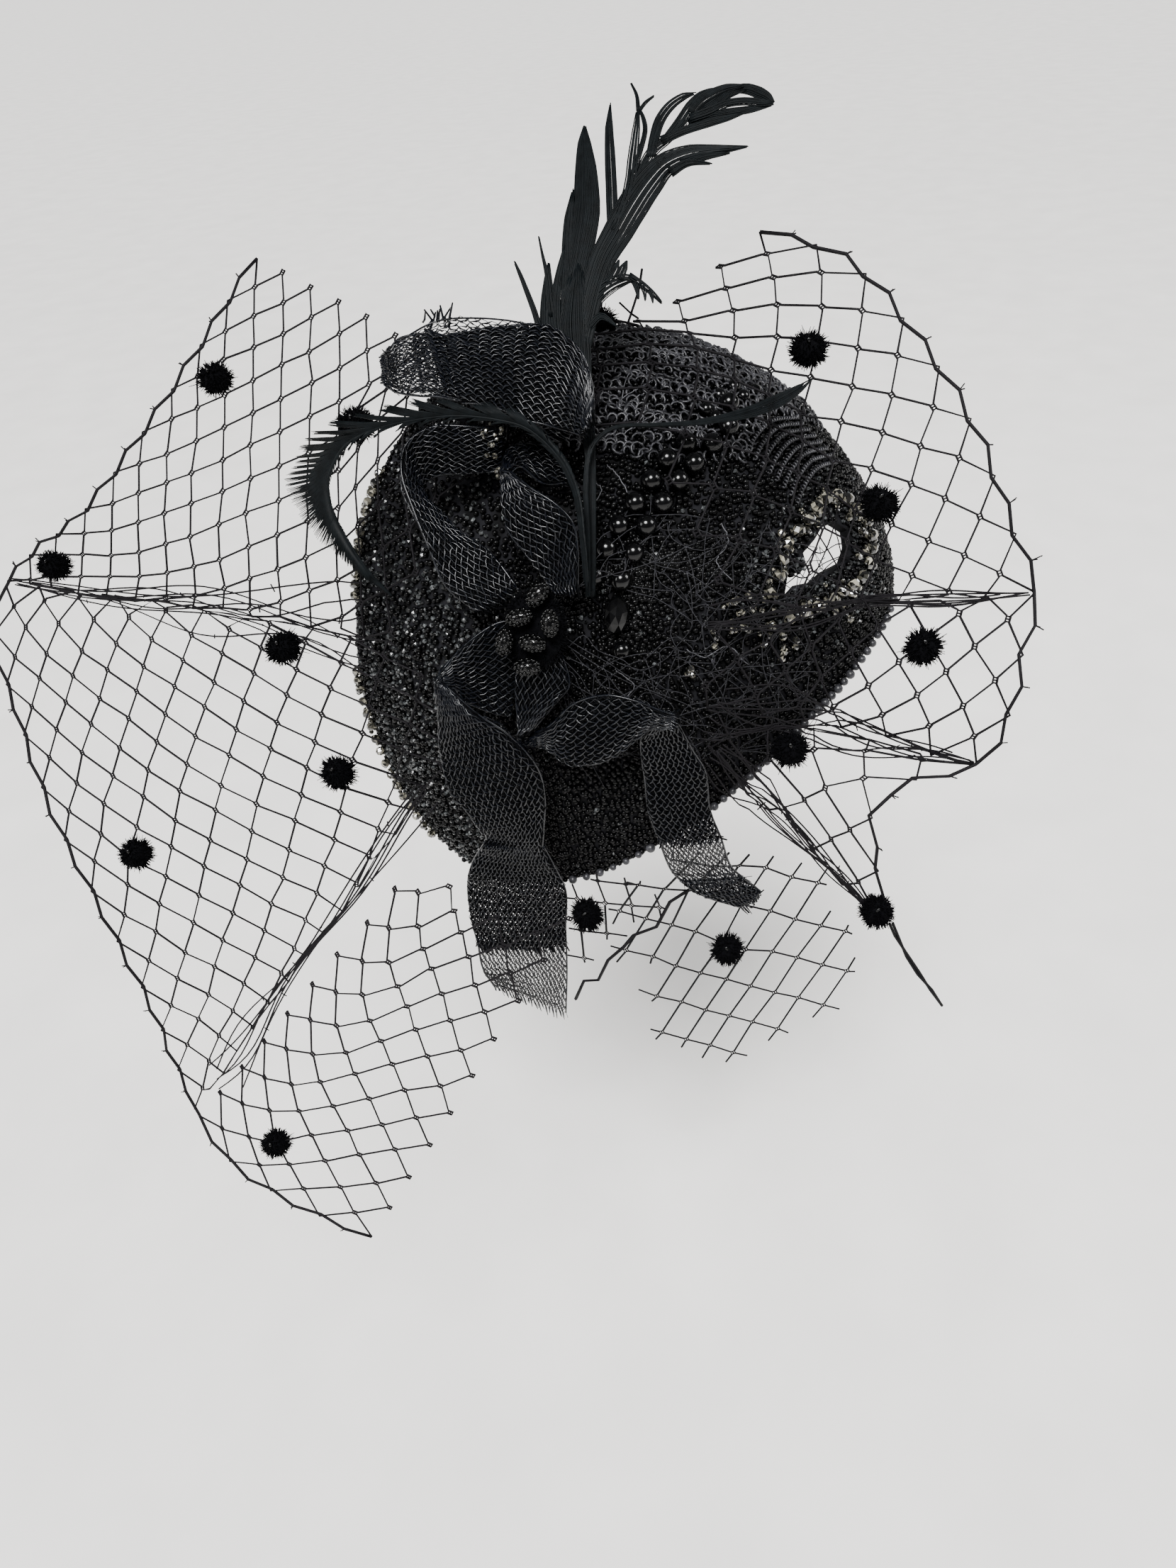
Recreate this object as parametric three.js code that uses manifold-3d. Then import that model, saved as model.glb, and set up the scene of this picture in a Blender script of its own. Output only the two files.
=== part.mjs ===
// A beaded half-cap fascinator: a hollow cap over one side of the head, braid loops and tails round a
// flower of beaded berries, feathers, and a ruffled open net with fluffy dots.
// Millimetres, +Z up. The wearer faces -Y, and -X is the wearer's right. The origin is the inside of
// the crown, where the cap rests on top of the head.
import * as THREE from "three";
import { mergeVertices } from "three/addons/utils/BufferGeometryUtils.js";
import Module from "manifold-3d";

const wasm = await Module();
wasm.setup();

// ---- driving dimensions ----
const capWall = 2.5;
const crownHigh = 89; // outer half height above the widest level
const sideDeep = 130; // the sides run down more steeply than the crown
const capHalfWide = 83;
const capHalfLong = 103;
const headMiddle = new THREE.Vector3(0, 0, capWall - crownHigh);
const topHalf = new THREE.Vector3(capHalfWide, capHalfLong, crownHigh);
const lowHalf = new THREE.Vector3(capHalfWide, capHalfLong, sideDeep);

const capPoleTurn = -145; // degrees about Z: the middle of the cap, right of the forehead
const capPoleRise = 35;
const capSectors = 40;
const capRings = 8;

const flowerTurn = -160.7; // degrees about Z: the middle of the flower
const flowerRise = 25.6;
const headRadius = 88; // turns a distance over the cap into an angle

const gap = 0.3; // between neighbouring pieces
const braidThick = 1.2;
const featherThick = 1.2;
const netThick = 1.4;
const netBar = 1.8;
const netClear = 8; // the net's middle above the cap
const netFall = 0.25; // the net falls back this much for each millimetre outwards
const netLean = 0.3; // and this much more for each millimetre upwards
const netRoot = 3;
const leastOpen = 0.3; // a cell that would be smaller than this share of itself is closed
const netRiseAt = 150; // the reach at which a fold has its full rise
const dotRadius = 4.4;
const beadRadius = 2.8;
const crystalRadius = 2.7;
const rimBeadRadius = 1.9;

// ---- colours ----
const finishes = {
  cap: { color: 0x17171a, roughness: 0.45, metalness: 0 },
  braid: { color: 0x101217, roughness: 0.5, metalness: 0 },
  feather: { color: 0x0c0e11, roughness: 0.6, metalness: 0 },
  net: { color: 0x131214, roughness: 0.7, metalness: 0 },
  chenille: { color: 0x0b0c0e, roughness: 1, metalness: 0 },
  jet: { color: 0x0a0a0c, roughness: 0.12, metalness: 0 },
  crystal: { color: 0xb9b6ae, roughness: 0.08, metalness: 0 },
  comb: { color: 0x1b1b1d, roughness: 0.4, metalness: 0 },
};

const group = new THREE.Group();

function addPiece(name, geometry, finish) {
  const mesh = new THREE.Mesh(geometry, new THREE.MeshStandardMaterial(finishes[finish]));
  mesh.name = name;
  group.add(mesh);
  return mesh;
}

const radians = THREE.MathUtils.degToRad;
const mix = THREE.MathUtils.lerp;

// Turns rows of numbers into objects with the named columns.
function table(columns, rows) {
  const names = columns.split(" ");
  return rows.map((row) => Object.fromEntries(names.map((name, k) => [name, row[k]])));
}

// A smooth reading of a table at t, from 0 at its first row to 1 at its last.
function reader(rows, columns, closed = false) {
  const names = columns.split(" ");
  const curve = new THREE.CatmullRomCurve3(
    rows.map((row) => new THREE.Vector3(...names.map((name) => row[name]))),
    closed,
    "catmullrom",
  );
  return (t) => {
    const read = curve.getPoint(t);
    return { [names[0]]: read.x, [names[1]]: read.y, [names[2]]: read.z };
  };
}

// ---- the cap's surface ----
function wayTo(turn, rise) {
  const flat = Math.cos(radians(rise));
  return new THREE.Vector3(
    flat * Math.cos(radians(turn)),
    flat * Math.sin(radians(turn)),
    Math.sin(radians(rise)),
  );
}

// The point of the cap's outer surface that lies along a way from the middle of the head, raised by lift.
function surfaceAt(way, lift) {
  const half = way.z < 0 ? lowHalf : topHalf;
  const point = way.clone().divideScalar(way.clone().divide(half).length());
  const normal = point.clone().divide(half).divide(half).normalize();
  return point.add(headMiddle).addScaledVector(normal, lift);
}

// Places on the cap are given from the flower's middle: across is towards the face, up is towards the crown.
const flowerWay = wayTo(flowerTurn, flowerRise);
const acrossWay = new THREE.Vector3(0, 0, 1).cross(flowerWay).normalize();
const upWay = flowerWay.clone().cross(acrossWay);
const flowerFoot = surfaceAt(flowerWay, 0);

function capPoint(across, up, lift) {
  const far = Math.hypot(across, up);
  if (far === 0) return surfaceAt(flowerWay, lift);
  const turn = far / headRadius;
  const way = flowerWay
    .clone()
    .multiplyScalar(Math.cos(turn))
    .addScaledVector(acrossWay, (Math.sin(turn) * across) / far)
    .addScaledVector(upWay, (Math.sin(turn) * up) / far);
  return surfaceAt(way, lift);
}

function capNormal(across, up) {
  return capPoint(across, up, 1).sub(capPoint(across, up, 0)).normalize();
}

// Places off the cap lie on a flat board that touches it at the flower, moved out by out.
function boardPoint(across, up, out) {
  return flowerFoot
    .clone()
    .addScaledVector(acrossWay, across)
    .addScaledVector(upWay, up)
    .addScaledVector(flowerWay, out);
}

// Moves a point away from the head until it clears the cap's surface.
function clearOfCap(point, least) {
  const way = point.clone().sub(headMiddle);
  const floor = surfaceAt(way.clone().normalize(), least);
  return way.length() < floor.clone().sub(headMiddle).length() ? floor : point;
}

// ---- making solids ----
function geometryOf(points, faces) {
  const positions = new Float32Array(points.length * 3);
  points.forEach((p, k) => p.toArray(positions, k * 3));
  const geometry = new THREE.BufferGeometry();
  geometry.setAttribute("position", new THREE.BufferAttribute(positions, 3));
  geometry.setIndex(faces.flat());
  return facingOut(geometry);
}

function facingOut(geometry) {
  const at = geometry.getAttribute("position");
  const index = geometry.index.array;
  const [a, b, c] = [new THREE.Vector3(), new THREE.Vector3(), new THREE.Vector3()];
  let volume = 0;
  for (let k = 0; k < index.length; k += 3) {
    a.fromBufferAttribute(at, index[k]);
    b.fromBufferAttribute(at, index[k + 1]);
    c.fromBufferAttribute(at, index[k + 2]);
    volume += a.dot(b.cross(c));
  }
  if (volume < 0) {
    for (let k = 0; k < index.length; k += 3) {
      [index[k + 1], index[k + 2]] = [index[k + 2], index[k + 1]];
    }
  }
  return geometry;
}

function solidOf(geometry) {
  const bare = geometry.clone();
  bare.deleteAttribute("normal");
  bare.deleteAttribute("uv");
  const merged = mergeVertices(bare, 1e-4);
  return new wasm.Manifold(
    new wasm.Mesh({
      numProp: 3,
      vertProperties: merged.getAttribute("position").array,
      triVerts: new Uint32Array(merged.index.array),
    }),
  );
}

function geometryFrom(solid) {
  const mesh = solid.getMesh();
  const positions = new Float32Array(mesh.numVert * 3);
  for (let k = 0; k < mesh.numVert; k += 1) {
    positions.set(mesh.vertProperties.subarray(k * mesh.numProp, k * mesh.numProp + 3), k * 3);
  }
  const geometry = new THREE.BufferGeometry();
  geometry.setAttribute("position", new THREE.BufferAttribute(positions, 3));
  geometry.setIndex(new THREE.BufferAttribute(new Uint32Array(mesh.triVerts), 1));
  return geometry;
}

function joined(geometries) {
  return geometryFrom(geometries.map(solidOf).reduce((whole, next) => whole.add(next)));
}

// A sheet with a wall thickness, from a grid of points of its middle surface: grid[along][over].
function sheetSolid(grid, thick) {
  const rows = grid.length;
  const across = grid[0].length;
  const tops = [];
  const bottoms = [];
  for (let i = 0; i < rows; i += 1) {
    for (let j = 0; j < across; j += 1) {
      const along = grid[Math.min(i + 1, rows - 1)][j].clone().sub(grid[Math.max(i - 1, 0)][j]);
      const over = grid[i][Math.min(j + 1, across - 1)].clone().sub(grid[i][Math.max(j - 1, 0)]);
      const normal = along.cross(over).normalize();
      tops.push(grid[i][j].clone().addScaledVector(normal, thick / 2));
      bottoms.push(grid[i][j].clone().addScaledVector(normal, -thick / 2));
    }
  }
  const under = tops.length;
  const at = (i, j) => i * across + j;
  const faces = [];
  const quad = (a, b, c, d) => faces.push([a, b, c], [a, c, d]);
  for (let i = 0; i < rows - 1; i += 1) {
    for (let j = 0; j < across - 1; j += 1) {
      const [a, b, c, d] = [at(i, j), at(i + 1, j), at(i + 1, j + 1), at(i, j + 1)];
      quad(a, b, c, d);
      quad(under + d, under + c, under + b, under + a);
    }
  }
  for (let i = 0; i < rows - 1; i += 1) {
    quad(at(i, 0), under + at(i, 0), under + at(i + 1, 0), at(i + 1, 0));
    const far = across - 1;
    quad(at(i + 1, far), under + at(i + 1, far), under + at(i, far), at(i, far));
  }
  for (let j = 0; j < across - 1; j += 1) {
    quad(at(0, j + 1), under + at(0, j + 1), under + at(0, j), at(0, j));
    const last = rows - 1;
    quad(at(last, j), under + at(last, j), under + at(last, j + 1), at(last, j + 1));
  }
  return geometryOf([...tops, ...bottoms], faces);
}

// ---- the cap: a polar patch of the head's shape, with a cut-out over the forehead ----
// Bearing is about the cap's own middle, from the front upwards; span is how far the edge lies from it.
const capEdge = table("bearing span", [
  [0, 66],
  [22, 71],
  [45, 73],
  [68, 68],
  [90, 61],
  [115, 55],
  [141, 51],
  [164, 52],
  [185, 56],
  [205, 68],
  [222, 78],
  [236, 79],
  [250, 67],
  [268, 54],
  [290, 46],
  [315, 45],
  [338, 51],
]);

const capPole = wayTo(capPoleTurn, capPoleRise);
const capSide = new THREE.Vector3(0, 0, 1).cross(capPole).normalize();
const capTop = capPole.clone().cross(capSide);

function capSpanAt(bearing) {
  const turn = ((bearing % 360) + 360) % 360;
  let k = capEdge.length - 1;
  while (capEdge[k].bearing > turn) k -= 1;
  const count = capEdge.length;
  const row = (step) => capEdge[(k + step + count) % count];
  const start = row(0).bearing;
  const width = ((row(1).bearing - start + 360) % 360) || 360;
  const t = (turn - start) / width;
  const [a, b, c, d] = [row(-1).span, row(0).span, row(1).span, row(2).span];
  const bend = (2 * a - 5 * b + 4 * c - d) * t * t + (3 * b - a - 3 * c + d) * t * t * t;
  return b + 0.5 * ((c - a) * t + bend);
}

// The way from the middle of the head, for an angle from the cap's middle and a bearing about it.
function capWay(span, bearing) {
  const ring = Math.sin(radians(span));
  return capPole
    .clone()
    .multiplyScalar(Math.cos(radians(span)))
    .addScaledVector(capSide, ring * Math.cos(radians(bearing)))
    .addScaledVector(capTop, ring * Math.sin(radians(bearing)));
}

function capGridPoint(share, bearing, lift) {
  const unit = capWay(capSpanAt(bearing) * share, bearing);
  return surfaceAt(unit.clone().multiply(unit.z < 0 ? lowHalf : topHalf), lift);
}

function capShell() {
  const points = [capGridPoint(0, 0, 0), capGridPoint(0, 0, -capWall)];
  for (const lift of [0, -capWall]) {
    for (let ring = 1; ring <= capRings; ring += 1) {
      for (let k = 0; k < capSectors; k += 1) {
        points.push(capGridPoint(ring / capRings, (360 * k) / capSectors, lift));
      }
    }
  }
  const outer = (ring, k) => 2 + (ring - 1) * capSectors + (k % capSectors);
  const inner = (ring, k) => outer(ring, k) + capRings * capSectors;
  const faces = [];
  for (let k = 0; k < capSectors; k += 1) {
    faces.push([0, outer(1, k), outer(1, k + 1)], [1, inner(1, k + 1), inner(1, k)]);
    for (let ring = 1; ring < capRings; ring += 1) {
      const [a, b, c, d] = [outer(ring, k), outer(ring + 1, k), outer(ring + 1, k + 1), outer(ring, k + 1)];
      faces.push([a, b, c], [a, c, d]);
      const [e, f, g, h] = [inner(ring, k), inner(ring + 1, k), inner(ring + 1, k + 1), inner(ring, k + 1)];
      faces.push([g, f, e], [h, g, e]);
    }
    const [p, q] = [outer(capRings, k), outer(capRings, k + 1)];
    const [r, s] = [inner(capRings, k + 1), inner(capRings, k)];
    faces.push([q, p, s], [q, s, r]);
  }
  return geometryOf(points, faces);
}

// The cut-out's outline, from the flower's middle.
const cutOutline = table("across up", [
  [84, 28],
  [89, 26],
  [89, 21],
  [86, 16],
  [79, 13],
  [75, 10],
  [70, 9],
  [66, 5],
  [67, 11],
  [73, 14],
  [72, 18],
  [76, 22],
  [79, 26],
]);

// A plug through the cap's wall, with the outline of the cut-out.
function cutPlug() {
  const count = cutOutline.length;
  const high = cutOutline.map((row) => capPoint(row.across, row.up, 4));
  const low = cutOutline.map((row) => capPoint(row.across, row.up, -capWall - 3));
  const flat = cutOutline.map((row) => new THREE.Vector2(row.across, row.up));
  const lids = THREE.ShapeUtils.triangulateShape(flat, []);
  const faces = [];
  for (const [a, b, c] of lids) faces.push([a, b, c], [count + c, count + b, count + a]);
  const turn = THREE.ShapeUtils.isClockWise(flat) ? 1 : -1;
  for (let k = 0; k < count; k += 1) {
    const next = (k + 1) % count;
    const wall = [[k, next, count + next], [k, count + next, count + k]];
    faces.push(...(turn > 0 ? wall : wall.map((face) => face.reverse())));
  }
  return geometryOf([...high, ...low], faces);
}

addPiece("cap", geometryFrom(solidOf(capShell()).subtract(solidOf(cutPlug()))), "cap");

// ---- round beads: a double line from the flower towards the forehead, and one large oval ----
const beadPlaces = table("across up", [
  [52, 62],
  [51, 53],
  [39, 47],
  [46, 47],
  [34, 42],
  [41, 41],
  [30, 36],
  [37, 36],
  [26, 30],
  [33, 30],
  [22, 24],
  [29, 24],
  [19, 18],
  [26, 17],
  [16, 11],
  [23, 10],
]);

function ballAt(middle, radius) {
  const ball = new THREE.OctahedronGeometry(radius, 1);
  return ball.translate(middle.x, middle.y, middle.z);
}

beadPlaces.forEach((row, k) => {
  const middle = capPoint(row.across, row.up, beadRadius + gap);
  addPiece(`round_bead_${String(k + 1).padStart(2, "0")}`, ballAt(middle, beadRadius), "jet");
});

function ovalAt(across, up, lift, halfLong, halfWide, slant) {
  const oval = new THREE.IcosahedronGeometry(1, 1);
  oval.scale(halfLong, halfWide, halfWide);
  oval.rotateZ(radians(slant));
  const out = capNormal(across, up);
  const side = upWay.clone().cross(out).normalize();
  oval.applyMatrix4(new THREE.Matrix4().makeBasis(side, out.clone().cross(side), out));
  const middle = capPoint(across, up, lift);
  oval.translate(middle.x, middle.y, middle.z);
  return oval;
}

addPiece("oval_bead", ovalAt(22, 1, 3 + gap, 4.2, 3, 20), "jet");

// ---- strings of stones, joined along their thread in short stretches ----
const stoneSides = 6;
const threadShare = 0.4; // the string's radius between two stones, as a share of a stone's

// A tube along the stones' middles that swells to each stone and narrows between them.
function stoneString(name, middles, radius, finish) {
  const last = middles.length - 1;
  const rings = [];
  middles.forEach((middle, k) => {
    const along = middles[Math.min(k + 1, last)].clone().sub(middles[Math.max(k - 1, 0)]).normalize();
    rings.push({ middle, along, radius });
    if (k === last) return;
    const between = middle.clone().lerp(middles[k + 1], 0.5);
    rings.push({ middle: between, along, radius: radius * threadShare });
  });
  const points = [];
  for (const ring of rings) {
    const out = ring.middle.clone().sub(headMiddle).normalize();
    const side = ring.along.clone().cross(out).normalize();
    for (let k = 0; k < stoneSides; k += 1) {
      const turn = (2 * Math.PI * k) / stoneSides;
      const spoke = out.clone().multiplyScalar(Math.cos(turn)).addScaledVector(side, Math.sin(turn));
      points.push(ring.middle.clone().addScaledVector(spoke, ring.radius));
    }
  }
  const [head, tail] = [rings[0], rings[rings.length - 1]];
  points.push(head.middle.clone().addScaledVector(head.along, -radius));
  points.push(tail.middle.clone().addScaledVector(tail.along, radius));
  const at = (ring, k) => ring * stoneSides + (k % stoneSides);
  const faces = [];
  for (let k = 0; k < stoneSides; k += 1) {
    for (let ring = 0; ring < rings.length - 1; ring += 1) {
      faces.push([at(ring, k), at(ring, k + 1), at(ring + 1, k + 1)]);
      faces.push([at(ring, k), at(ring + 1, k + 1), at(ring + 1, k)]);
    }
    faces.push([points.length - 2, at(0, k + 1), at(0, k)]);
    faces.push([points.length - 1, at(rings.length - 1, k), at(rings.length - 1, k + 1)]);
  }
  addPiece(name, geometryOf(points, faces), finish);
}

// The crystals round the cut-out, clockwise from its lower left.
const crystalStretches = {
  crystals_left: [[61, 7], [63.5, 11], [64.5, 15.5], [66, 20], [69.5, 23.5], [73, 27]],
  crystals_top: [[76, 31], [80, 34], [84.5, 35.5], [89, 35], [93, 32.5]],
  crystals_right: [[97, 29], [98, 24.5], [96.5, 20], [94.5, 15.5], [91, 11.5]],
  crystals_bottom: [[87, 9], [83, 7], [79, 5], [75, 3], [71, 1.5], [66.5, 0]],
};
for (const [name, places] of Object.entries(crystalStretches)) {
  const middles = places.map(([across, up]) => capPoint(across, up, crystalRadius + gap));
  stoneString(name, middles, crystalRadius, "crystal");
}

// The rim's bead edging, in stretches along the cap's own edge.
function rimString(name, from, to, count) {
  const middles = [];
  for (let k = 0; k < count; k += 1) {
    const bearing = mix(from, to, k / (count - 1));
    const unit = capWay(capSpanAt(bearing) - 1.6, bearing);
    const way = unit.clone().multiply(unit.z < 0 ? lowHalf : topHalf);
    middles.push(surfaceAt(way, rimBeadRadius + gap));
  }
  stoneString(name, middles, rimBeadRadius, "crystal");
}

rimString("rim_beads_back", 150, 180, 13);
rimString("rim_beads_low", 196, 224, 16);

// ---- braid ribbons: bands of open braid, given by their two edges a and b ----
// A row gives each edge's place and either its lift off the cap or its distance out from the board.
const capEdges = "aAcross aUp aLift bAcross bUp bLift";
const boardEdges = "aAcross aUp aOut bAcross bUp bOut";

function braidEdge(row, side) {
  const [across, up] = [row[`${side}Across`], row[`${side}Up`]];
  const lift = row[`${side}Lift`];
  return lift === undefined ? boardPoint(across, up, row[`${side}Out`]) : capPoint(across, up, lift);
}

// Crown bows the band outwards, as a share of its width.
function braid(rows, steps, crown = 0) {
  const smooth = (side) =>
    new THREE.CatmullRomCurve3(rows.map((row) => braidEdge(row, side)), false, "centripetal");
  const [first, second] = [smooth("a"), smooth("b")];
  const grid = [];
  for (let i = 0; i <= steps; i += 1) {
    const [a, b] = [first.getPoint(i / steps), second.getPoint(i / steps)];
    const middle = a.clone().lerp(b, 0.5);
    const out = middle.clone().sub(headMiddle).normalize();
    grid.push([a, middle.addScaledVector(out, crown * a.distanceTo(b)), b]);
  }
  return sheetSolid(grid, braidThick);
}

const topLoop = table(capEdges, [
  [12, 61, 9, 13, 51, 8],
  [7, 72, 13, 7, 51, 10],
  [-6, 76, 16, -4, 54, 12],
  [-20, 78, 18, -17, 56, 14],
  [-33, 77, 20, -29, 57, 16],
  [-40, 70, 22, -38, 57, 19],
  [-42, 63, 25, -40, 56, 23],
  [-37, 61, 28, -33, 51, 26],
  [-26, 65, 29, -21, 48, 27],
  [-14, 61, 28, -11, 46, 25],
  [-6, 57, 24, -4, 44, 20],
  [1, 58, 18, 2, 44, 15],
  [6, 58, 14, 7, 43, 11],
]);
addPiece("top_loop", braid(topLoop, 26), "braid");

const leftPetal = table(capEdges, [
  [-8, 46, 13, -9, 37, 9.5],
  [-16, 45, 18, -17, 36, 12],
  [-24, 44, 21, -25, 35, 14],
  [-30, 40, 22, -29, 33, 14],
  [-31, 34, 21, -28, 29, 12],
  [-28, 26, 19, -22, 23, 10],
  [-24, 17, 17, -14, 19, 9.5],
  [-20, 8, 15, -8, 14, 9.5],
  [-13, 2, 12, -3, 8, 9.5],
]);
addPiece("left_petal", braid(leftPetal, 20), "braid");

// The band that crosses the petals, and the part of it that turns back under its own top.
const bandFront = table(capEdges, [
  [-6, 34, 16.5, -4, 34, 17.5],
  [-5, 27, 16, 3, 29, 18],
  [-4, 21, 14, 8, 26, 17.5],
  [0, 16, 12, 12, 22, 15.5],
  [4, 11, 10.8, 13, 17, 13],
  [7, 7, 10, 13, 8, 10.5],
]);
const bandBack = table(capEdges, [
  [-6, 33, 16.5, -4, 33, 16.8],
  [-6, 40, 13, -2, 36, 14],
  [-1, 44, 9.5, 3, 33, 10.5],
  [5, 42, 7.5, 8, 34, 7.5],
]);
addPiece("centre_band", joined([braid(bandFront, 12, 0.06), braid(bandBack, 8)]), "braid");

const bottomPetal = table(capEdges, [
  [-2, -7, 9, 9, -9, 9],
  [-3, -15, 11, 11, -16, 10.5],
  [-3, -22, 12, 8, -20, 11],
  [-2, -28, 13.5, 2, -27, 13.5],
]);
addPiece("bottom_petal", braid(bottomPetal, 8, 0.08), "braid");

// The left ribbon leaves the flower as a petal, folds at its tip, and runs down and over the rim.
const lowerLeftPetal = table(capEdges, [
  [-3, 0, 9.5, -6, -26, 9],
  [-8, -1, 11, -9, -25, 11],
  [-14, -5, 14, -14, -22, 14],
  [-19, -10, 17, -18, -18, 18],
  [-21, -13, 19.5, -20, -16, 20],
]);
const leftTail = table(capEdges, [
  [-21, -13.5, 20, -19, -15, 20],
  [-22, -24, 20, -11, -22, 19],
  [-25, -35, 17, -4, -28, 16.5],
  [-26, -46, 17, 1, -37, 14],
  [-21, -57, 16.5, 2, -48, 12],
  [-14, -66, 13, 1, -61, 12],
  [-12, -73, 12, -2, -72, 12],
]);
const tailEnd = table(boardEdges, [
  [-13.5, -69, -16.3, -3.2, -69, -14.4],
  [-22, -78, -23, -1, -77, -21],
  [-30, -88, -30, 2, -87, -29],
  [-30, -104, -38, 1, -102, -37],
  [-29, -121, -46, 0, -120, -45],
  [-26, -129, -50, -2, -138, -54],
]);
const leftParts = [braid(lowerLeftPetal, 10, -0.06), braid(leftTail, 18, 0.04), braid(tailEnd, 10, 0.03)];
addPiece("left_ribbon", joined(leftParts), "braid");

// The right ribbon does the same towards the cheek.
const rightPetal = table(capEdges, [
  [-4, -32, 10, -3, -33, 10],
  [6, -26, 14, 4, -34, 11],
  [13, -19, 15.5, 11, -37, 12],
  [21, -16, 17.5, 18, -36, 13],
  [28, -17, 18.5, 25, -30, 15],
  [33, -19, 18.5, 31, -24, 17],
  [36, -20, 18, 35, -23, 17.5],
]);
const rightTail = table(capEdges, [
  [33, -20, 17.5, 36, -21, 17.5],
  [29, -27, 14.5, 37, -23, 15],
  [29, -33, 12.5, 41, -31, 12.5],
  [30, -42, 11, 45, -39, 11],
  [31, -53, 11, 47, -52, 11],
  [34, -64, 12, 50.5, -63, 12.5],
  [37, -74, 13, 53, -72, 14],
  [42, -80, 15, 58, -77, 17],
  [55, -86, 18, 60, -79, 18.5],
]);
addPiece("right_ribbon", joined([braid(rightPetal, 14, 0.06), braid(rightTail, 18, 0.04)]), "braid");

// ---- the flower: a velvet mound with six beaded berries ----
const moundPlace = { across: 3, up: -2 };
const moundLow = 11.4;
const moundHalf = { across: 8, up: 10, high: 1.3 };

function flowerMound() {
  const mound = new THREE.CylinderGeometry(0.8, 1, 2, 16, 1);
  mound.rotateX(Math.PI / 2);
  mound.scale(moundHalf.across, moundHalf.up, moundHalf.high);
  const out = capNormal(moundPlace.across, moundPlace.up);
  const side = upWay.clone().cross(out).normalize();
  mound.applyMatrix4(new THREE.Matrix4().makeBasis(side, out.clone().cross(side), out));
  const middle = capPoint(moundPlace.across, moundPlace.up, moundLow + moundHalf.high);
  mound.translate(middle.x, middle.y, middle.z);
  return mound;
}

addPiece("flower_mound", flowerMound(), "chenille");

const berryHalf = { long: 3.9, wide: 2.5 };
const berryLift = moundLow + 2 * moundHalf.high + gap + 0.2 + berryHalf.wide;
const berries = table("across up slant", [
  [4.6, 6.2, 50],
  [0.2, 1.2, 15],
  [7.6, 0, 95],
  [-3.6, -4.6, 75],
  [3.4, -4.6, -10],
  [2, -10.2, 0],
]);
berries.forEach((row, k) => {
  const berry = ovalAt(row.across, row.up, berryLift, berryHalf.long, berryHalf.wide, row.slant);
  addPiece(`berry_${k + 1}`, berry, "jet");
});

// ---- feathers: each blade is given along its quill, with half its width ----
function blade(rows, placeOf, faceOf, steps, thick = featherThick) {
  const centre = new THREE.CatmullRomCurve3(rows.map(placeOf), false, "centripetal");
  const face = new THREE.CatmullRomCurve3(rows.map(faceOf), false, "centripetal");
  const grid = [];
  for (let i = 0; i <= steps; i += 1) {
    const t = i / steps;
    const k = Math.min(Math.floor(t * (rows.length - 1)), rows.length - 2);
    const half = mix(rows[k].half, rows[k + 1].half, t * (rows.length - 1) - k);
    const side = centre.getTangent(t).cross(face.getPoint(t).normalize()).normalize();
    const middle = centre.getPoint(t);
    grid.push([-half, half].map((far) => middle.clone().addScaledVector(side, far)));
  }
  return sheetSolid(grid, thick);
}

// The upright spray leans back towards the head as it rises.
const sprayRoot = 8;
const sprayLean = 0.0016;
const sprayPoint = (row) => boardPoint(row.across, row.up, sprayRoot - sprayLean * row.up * row.up);
const sprayBlades = {
  stem: [[17, 6, 1.3], [16.5, 18, 1.5], [15, 32, 2.2], [13, 50, 3], [11, 68, 4], [11, 84, 2]],
  curved: [[11, 66, 2], [14, 84, 3], [20, 101, 5.2], [27, 113, 6], [36, 120, 4.5], [45, 122, 2], [53, 122, 0.7]],
  fishbone: [[25, 112, 2], [29, 122, 3], [34, 129, 4.4], [42, 134.5, 5.2], [50, 135, 4], [58, 133, 0.8]],
  pairLong: [[14, 88, 2], [20, 110, 2], [21.5, 124, 1.8], [22.5, 137, 0.6]],
  pairShort: [[20, 112, 1.5], [24, 128, 1], [28, 138, 0.5]],
  narrow: [[12, 80, 2], [15.5, 105, 1.8], [16, 122, 1.3], [15, 137, 0.5]],
  tall: [[9, 68, 3], [7, 84, 5], [8, 98, 4.6], [9.5, 112, 4], [9.5, 122, 2.6], [8, 132, 0.6]],
  spikeLow: [[10, 68, 2], [2, 78, 2.4], [-4, 86, 1.6], [-9, 94, 0.5]],
  spikeHigh: [[10, 72, 2], [4, 86, 2], [0, 94, 1.4], [-2, 101, 0.5]],
  back: [[12, 76, 2], [18, 88, 3.4], [24, 89, 3], [29, 85, 2], [33, 80, 0.6]],
};
const sprayParts = Object.values(sprayBlades).map((rows, k) => {
  const named = table("across up half", rows);
  const thick = featherThick + 0.05 * k;
  return blade(named, sprayPoint, () => flowerWay.clone(), 2 * (rows.length - 1), thick);
});
addPiece("feather_spray", joined(sprayParts), "feather");

const onCap = (row) => capPoint(row.across, row.up, row.lift);
const outOfCap = (row) => capNormal(row.across, row.up);

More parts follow.
